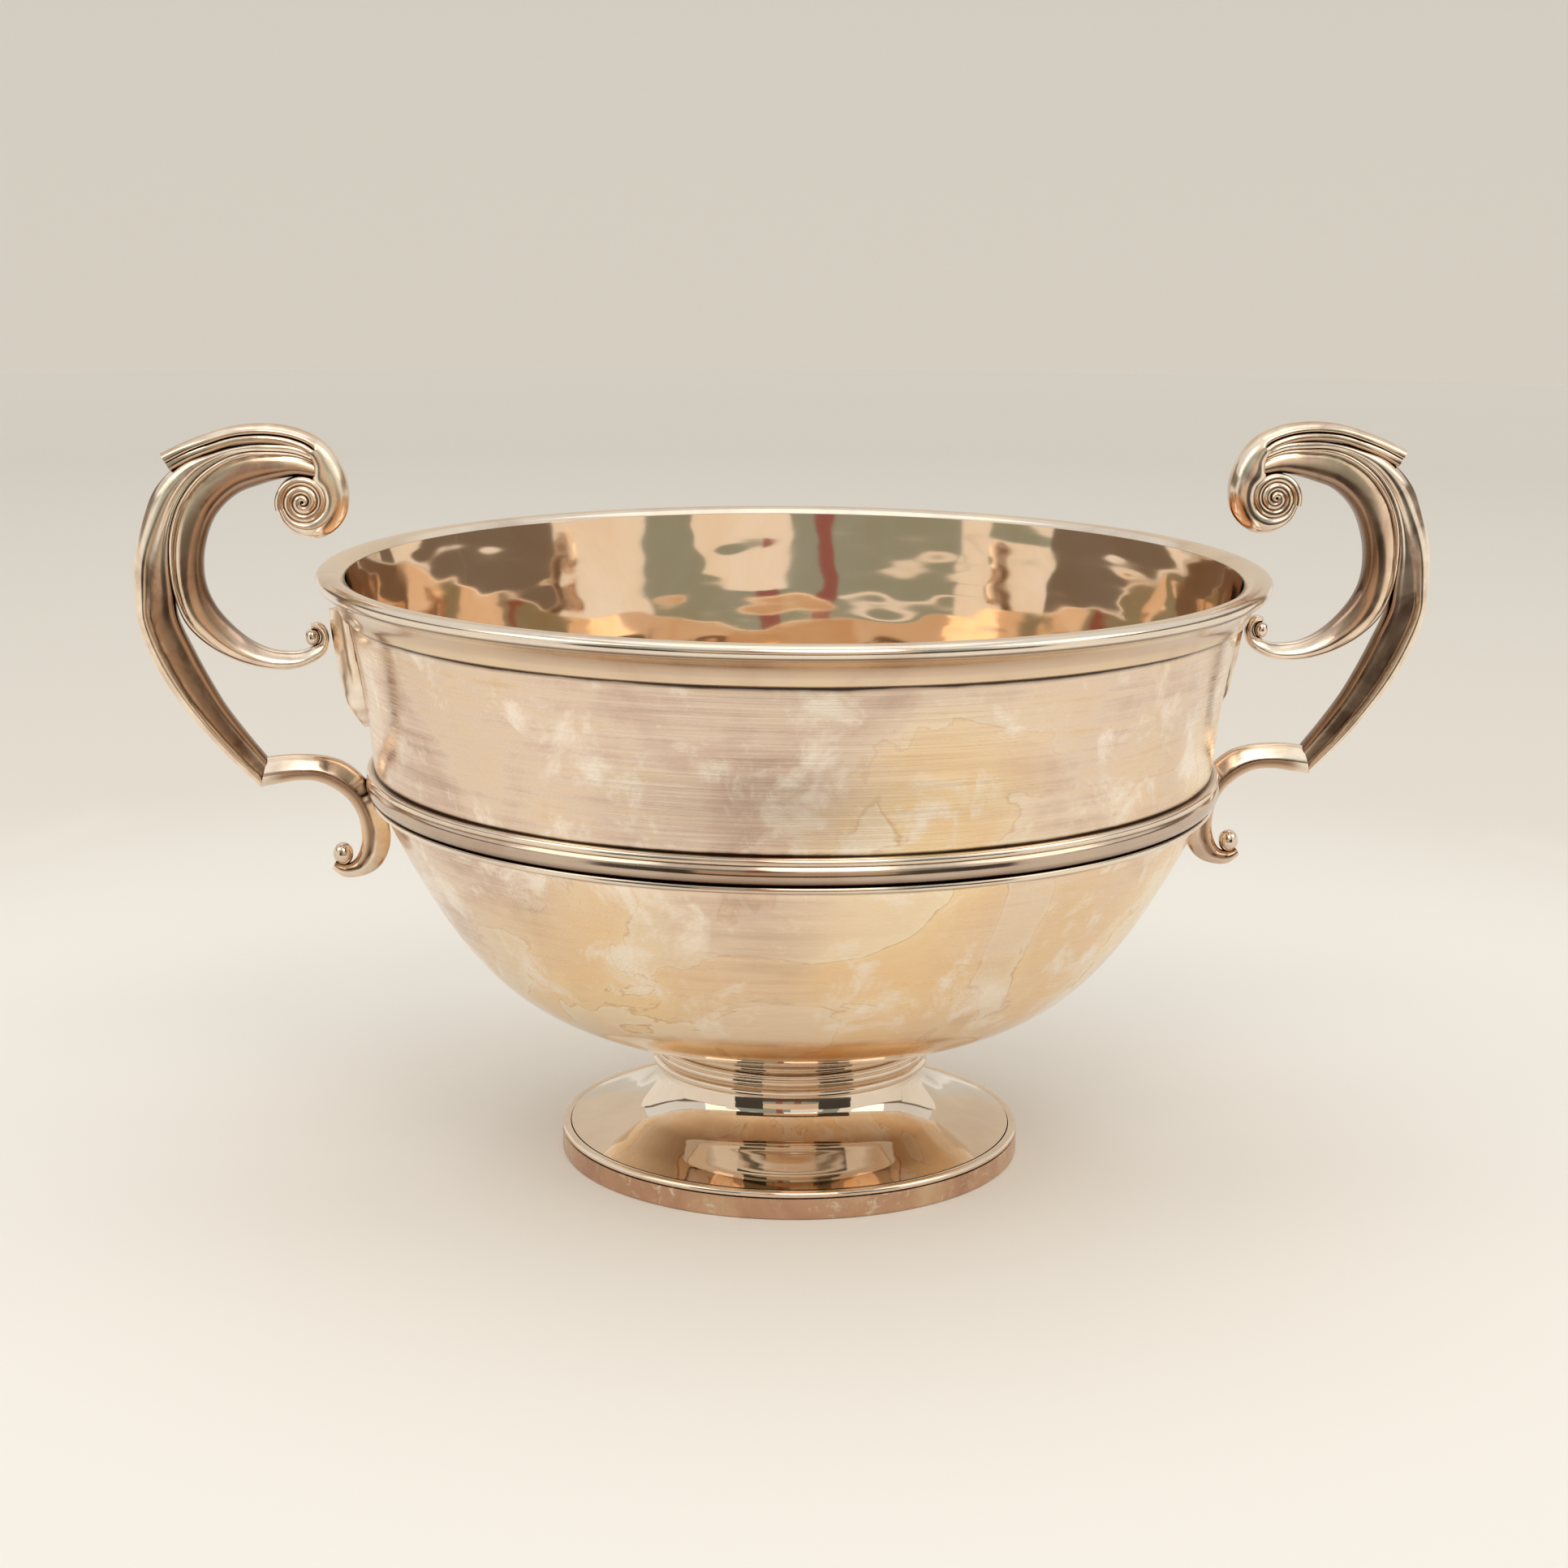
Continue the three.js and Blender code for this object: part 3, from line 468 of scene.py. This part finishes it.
def resampled(line, count):
    """The same line with count points: evenly along it by number of spans."""
    places = [i * (len(line) - 1) / (count - 1) for i in range(count)]
    result = []
    for place in places:
        i = min(int(place), len(line) - 2)
        result.append(line[i].lerp(line[i + 1], place - i))
    return result


def eased(values, share):
    """The value at a share of the way through a list, with no sudden change in it."""
    place = min(share * (len(values) - 1), len(values) - 1.0001)
    i = int(place)
    t = place - i
    return values[i] + (values[i + 1] - values[i]) * t * t * (3 - 2 * t)


def whole_section(side, per_span=3):
    """A half section, smoothed, and its mirror image: shares across and to the side."""
    line = flowing([Vector((across, depth, 0)) for across, depth in side], per_span)
    return [(p.x, p.y) for p in line] + [(p.x, -p.y) for p in reversed(line)]


def cast_bar(name, outer, inner, depths, section_at, stations=90):
    """A bar between an outer and an inner edge, extruded from ring to ring. Its attribute
    "lie" says for each point the share along the bar and the share across it."""
    outer_line = resampled(flowing(outer, 12), stations)
    inner_line = resampled(flowing(inner, 12), stations)

    def ring_at(i):
        share = i / (stations - 1)
        half = eased(depths, share) / 2 * mm
        places = []
        for across, side in section_at(share):
            place = outer_line[i].lerp(inner_line[i], across)
            places.append(Vector((place.x, side * half, place.z)))
        return places

    first = ring_at(0)
    bpy.ops.object.select_all(action="DESELECT")
    bpy.ops.mesh.primitive_circle_add(vertices=len(first), radius=mm, fill_type="NOTHING")
    piece = bpy.context.object
    piece.name = name
    piece.data.name = name
    bpy.ops.object.mode_set(mode="EDIT")
    mesh = bmesh.from_edit_mesh(piece.data)
    mesh.verts.ensure_lookup_table()
    for vertex, place in zip(mesh.verts, first):
        vertex.co = place
    for i in range(1, stations):
        bpy.ops.mesh.extrude_region()
        mesh = bmesh.from_edit_mesh(piece.data)
        mesh.verts.ensure_lookup_table()
        for vertex, place in zip(mesh.verts[-len(first):], ring_at(i)):
            vertex.co = place
    bmesh.update_edit_mesh(piece.data)
    bpy.ops.mesh.select_all(action="DESELECT")
    bpy.ops.mesh.select_non_manifold(extend=False)
    bpy.ops.mesh.edge_face_add()
    bpy.ops.mesh.select_all(action="SELECT")
    bpy.ops.mesh.normals_make_consistent(inside=False)
    bpy.ops.object.mode_set(mode="OBJECT")
    bpy.ops.object.shade_smooth_by_angle(angle=math.radians(40))
    lie = piece.data.attributes.new("lie", "FLOAT_VECTOR", "POINT")
    for i in range(stations):
        share = i / (stations - 1)
        for j, (across, side) in enumerate(section_at(share)):
            lie.data[i * len(first) + j].vector = (share, across, 0)
    return piece


def both_sides(piece, material, slot, node):
    """The right handle's piece, and its copy turned half round for the left."""
    twin = piece.copy()
    twin.data = piece.data.copy()
    bpy.context.scene.collection.objects.link(twin)
    twin.data.transform(Matrix.Rotation(math.pi, 4, "Z"))
    piece.name = f"{piece.name}_right"
    twin.name = piece.name.replace("_right", "_left")
    finish_piece(piece, material, slot, f"{node}_right")
    finish_piece(twin, material, slot, f"{node}_left")


# The arch's rows: a place on the scroll's inner edge, and from there the widths of the
# scroll and of the arm outside it
arch = [
    (above(2.6, 41.2), 4.3, 1.6), (above(8, 41.8), 6.1, 1.8), (above(13.2, 40.8), 7.9, 1.8),
    (above(18.2, 39.3), 9.4, 1.8), (above(22.4, 37.7), 9.7, 2.8), (above(26.3, 34.7), 9.9, 5.3),
    (above(29.4, 30.7), 9.7, 7), (above(31.4, 25.6), 9.3, 7.7), (above(32.4, 19.8), 8.6, 9.1),
    (above(32, 13.6), 8.4, 10.2), (above(29.9, 8.2), 8.8, 0), (above(26, 3.2), 8.1, 0),
    (above(21, -1.1), 6.6, 0), (above(15.8, -3.6), 5.4, 0), (above(11, -4.3), 4.8, 0),
    (above(7.6, -4), 4.3, 0),
]


def arch_point(i, distance):
    """A point of the arch's row i, so far out from the scroll's inner edge."""
    along = arch[min(i + 1, len(arch) - 1)][0] - arch[max(i - 1, 0)][0]
    along.normalize()
    return arch[i][0] + Vector((-along.z, 0, along.x)) * distance * mm


upper_ball = above(5, -0.6)
curl_inside = 2.2
curl = [(258, 3.9), (226, 3), (200, 2.3), (172, 2.1), (138, 2.2), (110, 2), (84, 1.3)]
scroll_broad = whole_section([
    (0, 0.72), (0.015, 0.86), (0.08, 0.97), (0.14, 0.9), (0.18, 0.82), (0.3, 0.9), (0.48, 0.97),
    (0.68, 1), (0.88, 0.9), (1, 0.4)])
scroll_thin = whole_section([
    (0, 0.2), (0.02, 0.4), (0.09, 0.66), (0.17, 0.82), (0.25, 0.92), (0.36, 1), (0.48, 0.97),
    (0.66, 0.8), (0.92, 0.42), (1, 0.2)])


def blended(first, second, share, start, width):
    """One section before the share start, another past start and width, eased between."""
    blend = min(max((share - start) / width, 0), 1)
    blend = blend * blend * (3 - 2 * blend)
    return [(a + (c - a) * blend, b + (d - b) * blend) for (a, b), (c, d) in zip(first, second)]


scroll = cast_bar(
    "c_scroll_cast",
    [arch_point(i, row[1]) for i, row in enumerate(arch)]
    + [around(upper_ball, angle, curl_inside + thick) for angle, thick in curl],
    [row[0] for row in arch] + [around(upper_ball, angle, curl_inside) for angle, thick in curl],
    [9.4 * d for d in (0.94, 1, 1, 1, 1, 0.95, 0.82, 0.68, 0.58, 0.52, 0.46, 0.36)],
    lambda share: blended(scroll_broad, scroll_thin, share, 0.3, 0.3), 120)


# Cast silver: filed, and polished where a cloth reaches, in clouds about 20 mm across; rose-brown
# where it doesn't, partly tarnish and partly painted shade, and nearly black in the deepest lines,
# with painted shade from ambient occlusion
def cast_silver(name, tarnish_and_shade_stops, start, stop):
    """Cast silver whose tarnish and painted shade have stops across the bar. They fade in along the
    bar, between two shares of its length."""
    material, tree, shader, place = silver_metal(name)
    cloud = add_node(tree, "ShaderNodeTexNoise", inputs={
        "Vector": place, "Scale": 55.0, "Detail": 5.0, "Roughness": 0.6, "Distortion": 0.8})
    tone = add_node(tree, "ShaderNodeValToRGB", inputs={"Fac": cloud.outputs["Fac"]})
    colour_stops(tone, [(0.32, "d2bcac"), (0.46, "ead9c8"), (0.6, "fbeedd"), (0.7, "f2e0c8")])
    # Painted shade: darker in hollows and between parts, from ambient occlusion
    shade = add_node(tree, "ShaderNodeAmbientOcclusion", {"samples": 8}, {"Distance": 1.5 * mm})
    hollow = add_node(tree, "ShaderNodeValToRGB", inputs={"Fac": shade.outputs["AO"]})
    colour_stops(hollow, [(0.2, "5c5048"), (0.45, "b8a494"), (0.7, "ffffff")])
    lie = add_node(tree, "ShaderNodeAttribute", {"attribute_name": "lie"})
    shares = add_node(tree, "ShaderNodeSeparateXYZ", inputs={"Vector": lie.outputs["Vector"]})
    strength = add_node(tree, "ShaderNodeMapRange", {"interpolation_type": "SMOOTHSTEP"}, {
        "Value": shares.outputs["X"], "From Min": start, "From Max": stop})
    ragged = add_node(tree, "ShaderNodeMapRange", inputs={
        "Value": cloud.outputs["Fac"], "From Min": 0.3, "From Max": 0.7,
        "To Min": -0.07, "To Max": 0.07})
    across = add_node(tree, "ShaderNodeMath", {"operation": "ADD"}, {
        0: shares.outputs["Y"], 1: ragged.outputs["Result"]})
    tarnish_and_shade = add_node(tree, "ShaderNodeValToRGB", inputs={"Fac": across.outputs["Value"]})
    colour_stops(tarnish_and_shade, tarnish_and_shade_stops)
    skin = add_node(tree, "ShaderNodeMix", {"data_type": "RGBA", "blend_type": "MULTIPLY"}, {
        "Factor": 1.0, "A": tone.outputs["Color"], "B": hollow.outputs["Color"]})
    toned = add_node(tree, "ShaderNodeMix", {"data_type": "RGBA", "blend_type": "MULTIPLY"}, {
        "Factor": strength.outputs["Result"],
        "A": skin.outputs["Result"], "B": tarnish_and_shade.outputs["Color"]})
    tree.links.new(toned.outputs["Result"], shader.inputs["Base Color"])
    gloss = add_node(tree, "ShaderNodeMapRange", inputs={
        "Value": cloud.outputs["Fac"], "From Min": 0.3, "From Max": 0.7,
        "To Min": 0.12, "To Max": 0.28})
    tree.links.new(gloss.outputs["Result"], shader.inputs["Roughness"])
    relief = add_node(tree, "ShaderNodeBump", inputs={
        "Height": cloud.outputs["Fac"], "Strength": 1.0, "Distance": 0.06 * mm})
    tree.links.new(relief.outputs["Normal"], shader.inputs["Normal"])
    return material


# The scroll's inner side, in the loop, is brown down to where it thins out: tarnish with painted
# shade, and a painted dark line between its bead and its body
scroll_silver = cast_silver("silver_cast_brown_inside", [
    (0.0, "f4e8da"), (0.1, "ffffff"), (0.16, "a89888"), (0.22, "fff4e8"), (0.42, "f0e0d4"),
    (0.7, "cdb8aa"), (1.0, "84736a")], 0.66, 0.46)
both_sides(scroll, scroll_silver, "silver_satin", "c_scroll")

# Outer arms
# Cast silver arms, soldered to the scroll's back. Each is a plain reed in the arch, and
# lower down a strap with a bead along its outer edge, down to the mitre.
arm_reed = whole_section([
    (0, 0.84), (0.05, 0.92), (0.14, 0.96), (0.22, 0.98), (0.3, 0.99), (0.38, 1), (0.5, 1),
    (0.62, 0.99), (0.74, 0.97), (0.84, 0.95), (0.94, 0.9), (1, 0.8)])
arm_round = whole_section([
    (0, 0.15), (0.03, 0.34), (0.12, 0.6), (0.26, 0.82), (0.42, 0.96), (0.56, 1), (0.68, 0.96),
    (0.76, 0.86), (0.82, 0.8), (0.88, 0.84), (0.95, 0.84), (1, 0.6)])
arm_strap = whole_section([
    (0, 0.2), (0.03, 0.5), (0.1, 0.82), (0.18, 0.95), (0.26, 0.93), (0.33, 0.8), (0.38, 0.72),
    (0.5, 0.7), (0.72, 0.7), (0.86, 0.72), (0.95, 0.66), (1, 0.3)])


def arm_section(share):
    if share < 0.4:
        return blended(arm_reed, arm_round, share, 0.14, 0.26)
    return blended(arm_round, arm_strap, share, 0.4, 0.26)


mitre_outer = below(27.5, -1.2)
mitre_inner = below(25.6, 6.5)
arm_rows = [i for i, row in enumerate(arch) if row[2]]
arm = cast_bar(
    "outer_arm_cast",
    [arch_point(i, arch[i][1] + arch[i][2]) for i in arm_rows]
    + [above(49.6, 3.5), below(54.8, 33.9), below(49.8, 24.5), below(43.8, 16.3),
       below(36, 7.1), mitre_outer],
    [arch_point(i, arch[i][1] - 0.15) for i in arm_rows]
    + [above(39.3, 5), below(43.8, 35.6), below(40.3, 28.4), below(36.1, 20.8),
       below(31.5, 14.2), mitre_inner],
    [8.2 * d for d in (1.12, 1.12, 1.06, 1, 1, 1, 0.96, 0.92, 0.9)],
    arm_section, 110)
# The arm is bright along its outer bead, and brown on the face beside it: tarnish with a painted
# reflection of the dark room, and a painted dark line between bead and face
arm_silver = cast_silver("silver_cast_brown_face", [
    (0.0, "fff4e4"), (0.28, "ffffff"), (0.36, "8c796b"), (0.46, "dccabc"), (0.7, "cfbcae"),
    (0.9, "cab6a6"), (1.0, "86756b")], 0.5, 0.7)
both_sides(arm, arm_silver, "silver_toned", "outer_arm")

# Crests
# Cast silver, soldered along the top of the arch. A crest starts as a reeded tip behind
# the arm, and in front it rolls over round the volute's coil.
volute = above(6.5, 35.3)
coil_radius = 7.3
coil_pitch = 2.35
coil_start = -18
crest_reeded = whole_section([
    (0, 0.05), (0.04, 0.42), (0.17, 0.74), (0.32, 0.88), (0.46, 0.9), (0.54, 0.84), (0.58, 0.7),
    (0.62, 0.86), (0.74, 0.95), (0.9, 0.97), (1.06, 0.88)], 2)
crest_plain = whole_section([
    (0, 0.05), (0.04, 0.42), (0.17, 0.72), (0.32, 0.87), (0.46, 0.95), (0.54, 0.98), (0.58, 0.99),
    (0.62, 1), (0.74, 1), (0.9, 0.96), (1.06, 0.8)], 2)
crest = cast_bar(
    "crest_cast",
    [above(42.6, 47.5), above(36.6, 50.4), above(30.3, 52.8), above(24.3, 54.5), above(18.3, 55.2),
     above(12.8, 55), above(7.8, 54), above(3.1, 52), above(-0.6, 49), above(-3.2, 45.1),
     above(-4.9, 40.6), above(-5.4, 35.8), above(-4.2, 30.8), above(-1, 27.1), above(3.3, 25.4),
     above(8.2, 26.4), above(11.7, 29.2), above(13.5, 33)],
    [above(40.2, 43.6), above(34.8, 46.4), above(28.8, 48.7), above(23.5, 50.3), above(18.1, 50.8),
     above(13.1, 50.6), above(8.8, 49.7), above(5.2, 47.9), above(3.2, 44.6)]
    + [around(volute, angle, coil_radius - 0.1 - coil_pitch * (angle - coil_start) / 360)
       for angle in (122, 150, 180, 208, 234, 260, 288, 315, 342)],
    [10.2 * d for d in (0.5, 0.78, 0.9, 0.96, 1, 1, 1, 1, 0.96)],
    lambda share: crest_reeded if share < 0.43 else crest_plain, 140)
# The crest is rubbed all over, with a brown line of tarnish and painted shade in the groove between
# its roll and its reed, and painted shade along its inner edge
crest_silver = cast_silver("silver_cast_rubbed_painted_shade", [
    (0.0, "f2dfca"), (0.12, "ffffff"), (0.46, "fff4e6"), (0.56, "a58d78"), (0.66, "ffffff"),
    (0.9, "f4e4d2"), (1.0, "b59c86")], 0.52, 0.4)
both_sides(crest, crest_silver, "silver_satin", "crest")

# Volute coils
# The crest's rolled end, cast with fine grooves: one ribbon, wound inward nearly three
# turns to a raised eye.
coil_turns = 2.95
coil_steps = 100
coil_section = whole_section([
    (0, 0.86), (0.1, 0.92), (0.3, 0.985), (0.5, 1), (0.7, 0.985), (0.9, 0.92), (1, 0.86)])


def coil_edge(inset):
    """The spiral of the ribbon's outer edge, moved inward by inset millimetres."""
    line = []
    for i in range(coil_steps):
        turns = coil_turns * i / (coil_steps - 1)
        distance = coil_radius - coil_pitch * turns - inset
        line.append(around(volute, coil_start + 360 * turns, max(distance, 0.12)))
    return line


# The ribbon widens towards the eye, so that the eye stands proud
coil_depths = [9.6 * (1 + 0.25 * (i / 20) ** 2) for i in range(21)]
coil = cast_bar(
    "volute_coil_wound", coil_edge(0), coil_edge(coil_pitch + 0.1),
    coil_depths, lambda share: coil_section, 150)
both_sides(coil, crest_silver, "silver_satin", "volute_coil")

# Brackets
# Cast S-shaped bars from the arm's mitre down to the girdle. They are soldered to it,
# and each tail curls outward below.
bracket_section = whole_section([
    (0, 0.3), (0.05, 0.5), (0.18, 0.8), (0.34, 0.97), (0.46, 1), (0.54, 0.95), (0.74, 0.72),
    (0.94, 0.46), (1, 0.28)])
bracket = cast_bar(
    "bracket_cast",
    [mitre_outer, below(22.6, -0.3), below(18.2, 0.4), below(13.2, 0.2), below(8.7, -1.7),
     below(4.8, -4.9), below(2.4, -9), below(1.5, -13.3), below(1.6, -17), below(2.5, -20),
     below(4, -22), below(5.8, -22.5), below(7.3, -22.2), below(8.3, -21.7)],
    [mitre_inner, below(21.2, 7), below(16.3, 7.1), below(10.8, 6.6), below(5.6, 4.9),
     below(0.7, 0.9), below(-2.8, -4.1), below(-5.6, -11), below(-6.1, -16.5), below(-4.5, -21.4),
     below(-1.8, -24.4), below(2.4, -26), below(6.4, -26), below(9.4, -23.9)],
    [7.4 * d for d in (1, 1, 1, 1, 0.98, 0.95, 0.9, 0.76, 0.6, 0.5)],
    lambda share: bracket_section, 100)
# The bracket is bright on top, and has painted shade in brown on the side that looks down
bracket_silver = cast_silver("silver_cast_bright_top", [
    (0.0, "f4e6d6"), (0.15, "e8d6c4"), (0.3, "9c8676"), (0.44, "b09a8a"), (0.54, "ffffff"),
    (1.0, "fff6ea")], 0.0, 0.1)
both_sides(bracket, bracket_silver, "silver_satin", "bracket")


# Balls
# Small cast balls of polished silver, soldered in the curls at the ends of the scrolls
# and the brackets.
def ball(name, centre, radius, node):
    """A pair of balls, a little wider from front to back than they are high."""
    bpy.ops.object.select_all(action="DESELECT")
    bpy.ops.mesh.primitive_uv_sphere_add(segments=32, ring_count=20, radius=radius * mm)
    piece = bpy.context.object
    piece.name = name
    piece.data.name = name
    bpy.ops.object.mode_set(mode="EDIT")
    bpy.ops.mesh.select_all(action="SELECT")
    bpy.ops.transform.resize(value=(1, 1.12, 1))
    bpy.ops.transform.rotate(value=math.pi / 2, orient_axis="X", center_override=(0, 0, 0))
    bpy.ops.transform.translate(value=centre)
    bpy.ops.object.mode_set(mode="OBJECT")
    bpy.ops.object.shade_smooth()
    both_sides(piece, polished_silver, "silver_polished", node)


ball("curl_ball", upper_ball, 2.0, "upper_ball")
ball("tail_ball", below(6.4, -19.8), 2.7, "lower_ball")

# Drops
# Keeled, pointed plates of silver, soldered to the wall under the rim, that spread the
# handles' upper joints.
drop_top = 148.85
drop_height = 31.5
drop_width = 12.8
drop_thickness = 5.1
# The share of the way down, and there the shares of the full width and thickness
drop_rows = [(0, 0.94, 0.9), (0.14, 1, 1), (0.4, 0.9, 1.02), (0.62, 0.7, 0.98), (0.8, 0.44, 0.86),
             (0.92, 0.24, 0.5), (1, 0.08, 0.2)]


def off_wall(down, distance):
    """A place so far down the drop, and so many millimetres out from the bowl's wall,
    which flares by 8 mm over its 50.7 mm and is slightly hollow."""
    z = drop_top - drop_height * down
    wall = 110.9 + 8 * max(z - 107.4, 0) / 50.7 - 0.3 * math.sin(math.pi * (z - 107.4) / 50.7)
    return Vector((wall + distance, 0, z)) * mm


drop_section = whole_section([(0, 0.05), (0.02, 0.18), (0.38, 0.62), (0.84, 1), (1, 0.98)], 4)
drop = cast_bar(
    "drop_plate",
    [off_wall(down, drop_thickness * thick) for down, wide, thick in drop_rows],
    [off_wall(down, -1) for down, wide, thick in drop_rows],
    [drop_width * wide for down, wide, thick in drop_rows],
    lambda share: drop_section, 40)
both_sides(drop, crest_silver, "silver_satin", "drop")

# Studio
# Pale paper sweeps up all round the table. For the silver to reflect, glowing cards that only
# reflections show stand in for white cards at the sides, and in front for a dark room with pale and
# reddish things, where the paper ends.
floor_paper = bpy.data.materials.new("pale_paper")
floor_paper.use_nodes = True
paper = floor_paper.node_tree.nodes["Principled BSDF"]
paper.inputs["Roughness"].default_value = 0.9
tree = floor_paper.node_tree
place = add_node(tree, "ShaderNodeTexCoord").outputs["Object"]
# Painted light: the paper is lighter within about 0.3 m of the bowl, as a pool of light, and darker
# beyond half a metre
distance = add_node(tree, "ShaderNodeVectorMath", {"operation": "LENGTH"}, {0: place})
nearness = add_node(tree, "ShaderNodeMapRange", {"interpolation_type": "SMOOTHSTEP"}, {
    "Value": distance.outputs["Value"], "From Min": 0.26, "From Max": 0.52})
paper_light_pool = add_node(tree, "ShaderNodeValToRGB", inputs={"Fac": nearness.outputs["Result"]})
colour_stops(paper_light_pool, [(0.0, "edebe6"), (1.0, "e0dcd4")])
tree.links.new(paper_light_pool.outputs["Color"], paper.inputs["Base Color"])


def stage_card(name, width, length, place, tilt, turn, material):
    """A flat card that only reflections show, tilted about X and then turned about Z."""
    bpy.ops.object.select_all(action="DESELECT")
    bpy.ops.mesh.primitive_plane_add(size=1)
    panel = bpy.context.object
    panel.name = name
    panel.data.transform(
        Matrix.Translation(place) @ Matrix.Rotation(turn, 4, "Z")
        @ Matrix.Rotation(tilt, 4, "X") @ Matrix.Diagonal((width, length, 1, 1)))
    panel.data.materials.append(material)
    panel.visible_camera = False
    panel.visible_diffuse = False
    panel.visible_shadow = False


floor = turned("paper_sweep", [Vector(p) for p in ((0, 0, 0), (1.7, 0, 0))]
               + flowing([Vector(p) for p in ((1.9, 0, 0.02), (2.3, 0, 0.2), (2.5, 0, 0.6))], 8)
               + [Vector((2.52, 0, 0.6)), Vector((1.9, 0, -0.02)), Vector((0, 0, -0.02))], 96)
floor.data.materials.append(floor_paper)


def glow(name, code):
    """A card's material: one even, glowing colour."""
    material = bpy.data.materials.new(name)
    material.use_nodes = True
    tree = material.node_tree
    tree.nodes.remove(tree.nodes["Principled BSDF"])
    lamp = add_node(tree, "ShaderNodeEmission", inputs={"Color": srgb(code), "Strength": 1.0})
    tree.links.new(lamp.outputs["Emission"], tree.nodes["Material Output"].inputs["Surface"])
    return material


# Each card glows with the colour that the lit or shaded room would show there, as painted light
room_card = glow("room_card", "99a094")
low_card = glow("low_card", "4a443c")
floor_card = glow("room_floor", "5f4d3e")
white_card = glow("white_card", "f6efe4")
brown_card = glow("brown_card", "7d7063")
red_card = glow("red_card", "96605a")
tan_card = glow("tan_card", "e2c6a8")
back_card = glow("back_card", "dbcdba")

# The room's floor, from 0.37 m in front of the bowl on
stage_card("room_floor", 2.4, 1.3, Vector((
    math.sin(camera_azimuth) * 1.02, -math.cos(camera_azimuth) * 1.02, 2 * mm)),
    0, camera_azimuth, floor_card)
# Upright cards that face the bowl: each stands between two angles in degrees, counted
# round from the camera's side, and two heights and at a distance in metres
for name, start, end, low, high, distance, card in (
    ("room_left", -78, -34, 0, 1.25, 1.7, room_card),
    ("room_middle", -34, 10, 0, 1.25, 1.7, room_card),
    ("room_right", 10, 44, 0, 1.25, 1.7, room_card),
    ("side_left", -112, -78, 0.15, 0.75, 1.7, brown_card),
    ("side_left_back", -146, -112, 0.15, 0.75, 1.7, brown_card),
    ("side_right", 74, 106, 0.15, 0.75, 1.7, brown_card),
    ("side_right_back", 106, 144, 0.15, 0.75, 1.7, brown_card),
    ("window_left", -58, -48, 0.48, 1.25, 1.5, white_card),
    ("window_left_low", -78, -48, 0.1, 0.48, 1.5, white_card),
    ("window_right", 45, 74, 0.08, 1.25, 1.6, white_card),
    ("lit_middle", 1, 29, 0.46, 0.9, 1.5, white_card),
    ("lit_shelf", -48, -12, 0.41, 0.46, 1.5, white_card),
    ("red_left", -11.5, -6, 0, 1.2, 1.48, red_card),
    ("red_right", 4, 10, 0, 0.48, 1.48, red_card),
    ("near_white_left", -101, -46, 0, 0.19, 0.45, white_card),
    ("near_white_left_back", -146, -101, 0, 0.19, 0.45, white_card),
    ("near_white_right", 52, 108, 0, 0.19, 0.45, white_card),
    ("near_white_right_back", 108, 144, 0, 0.19, 0.45, white_card),
    ("near_dark_left", -46, -22, 0, 0.18, 0.45, low_card),
    ("near_tan", -22, 24, 0.03, 0.22, 0.6, tan_card),
    ("near_dark_right", 24, 52, 0, 0.18, 0.45, low_card),
    ("back_left", 144, 180, 0.2, 1.25, 1.7, back_card),
    ("back_right", 180, 214, 0.2, 1.25, 1.7, back_card),
):
    angle = math.radians((start + end) / 2) + camera_azimuth
    width = 2 * distance * math.tan(math.radians(end - start) / 2)
    place = Vector((math.sin(angle) * distance, -math.cos(angle) * distance, (low + high) / 2))
    stage_card(name, width, high - low, place, math.pi / 2, angle, card)

world = bpy.data.worlds.new("studio")
world.use_nodes = True
world.node_tree.nodes["Background"].inputs["Color"].default_value = srgb("f3f1ed")
world.node_tree.nodes["Background"].inputs["Strength"].default_value = 0.9
bpy.context.scene.world = world


def softbox(name, power, size, place):
    """A square lamp that points at the bowl."""
    light = bpy.data.lights.new(name, "AREA")
    light.energy = power
    light.shape = "SQUARE"
    light.size = size
    light.color = srgb("fff6ea")[:3]
    lamp = bpy.data.objects.new(name, light)
    bpy.context.scene.collection.objects.link(lamp)
    lamp.location = place
    towards_bowl = Vector((0, 0, 80 * mm)) - lamp.location
    lamp.rotation_euler = towards_bowl.to_track_quat("-Z", "Y").to_euler()


softbox("softbox_left", 3.4, 0.9, (-1.3, -0.5, 1.1))
softbox("softbox_right", 2.8, 0.9, (1.3, -0.5, 1.1))
softbox("softbox_top", 2.8, 1.2, (0, 0.2, 1.6))
softbox("softbox_front", 5, 0.8, (0.1, -1.25, 1.3))
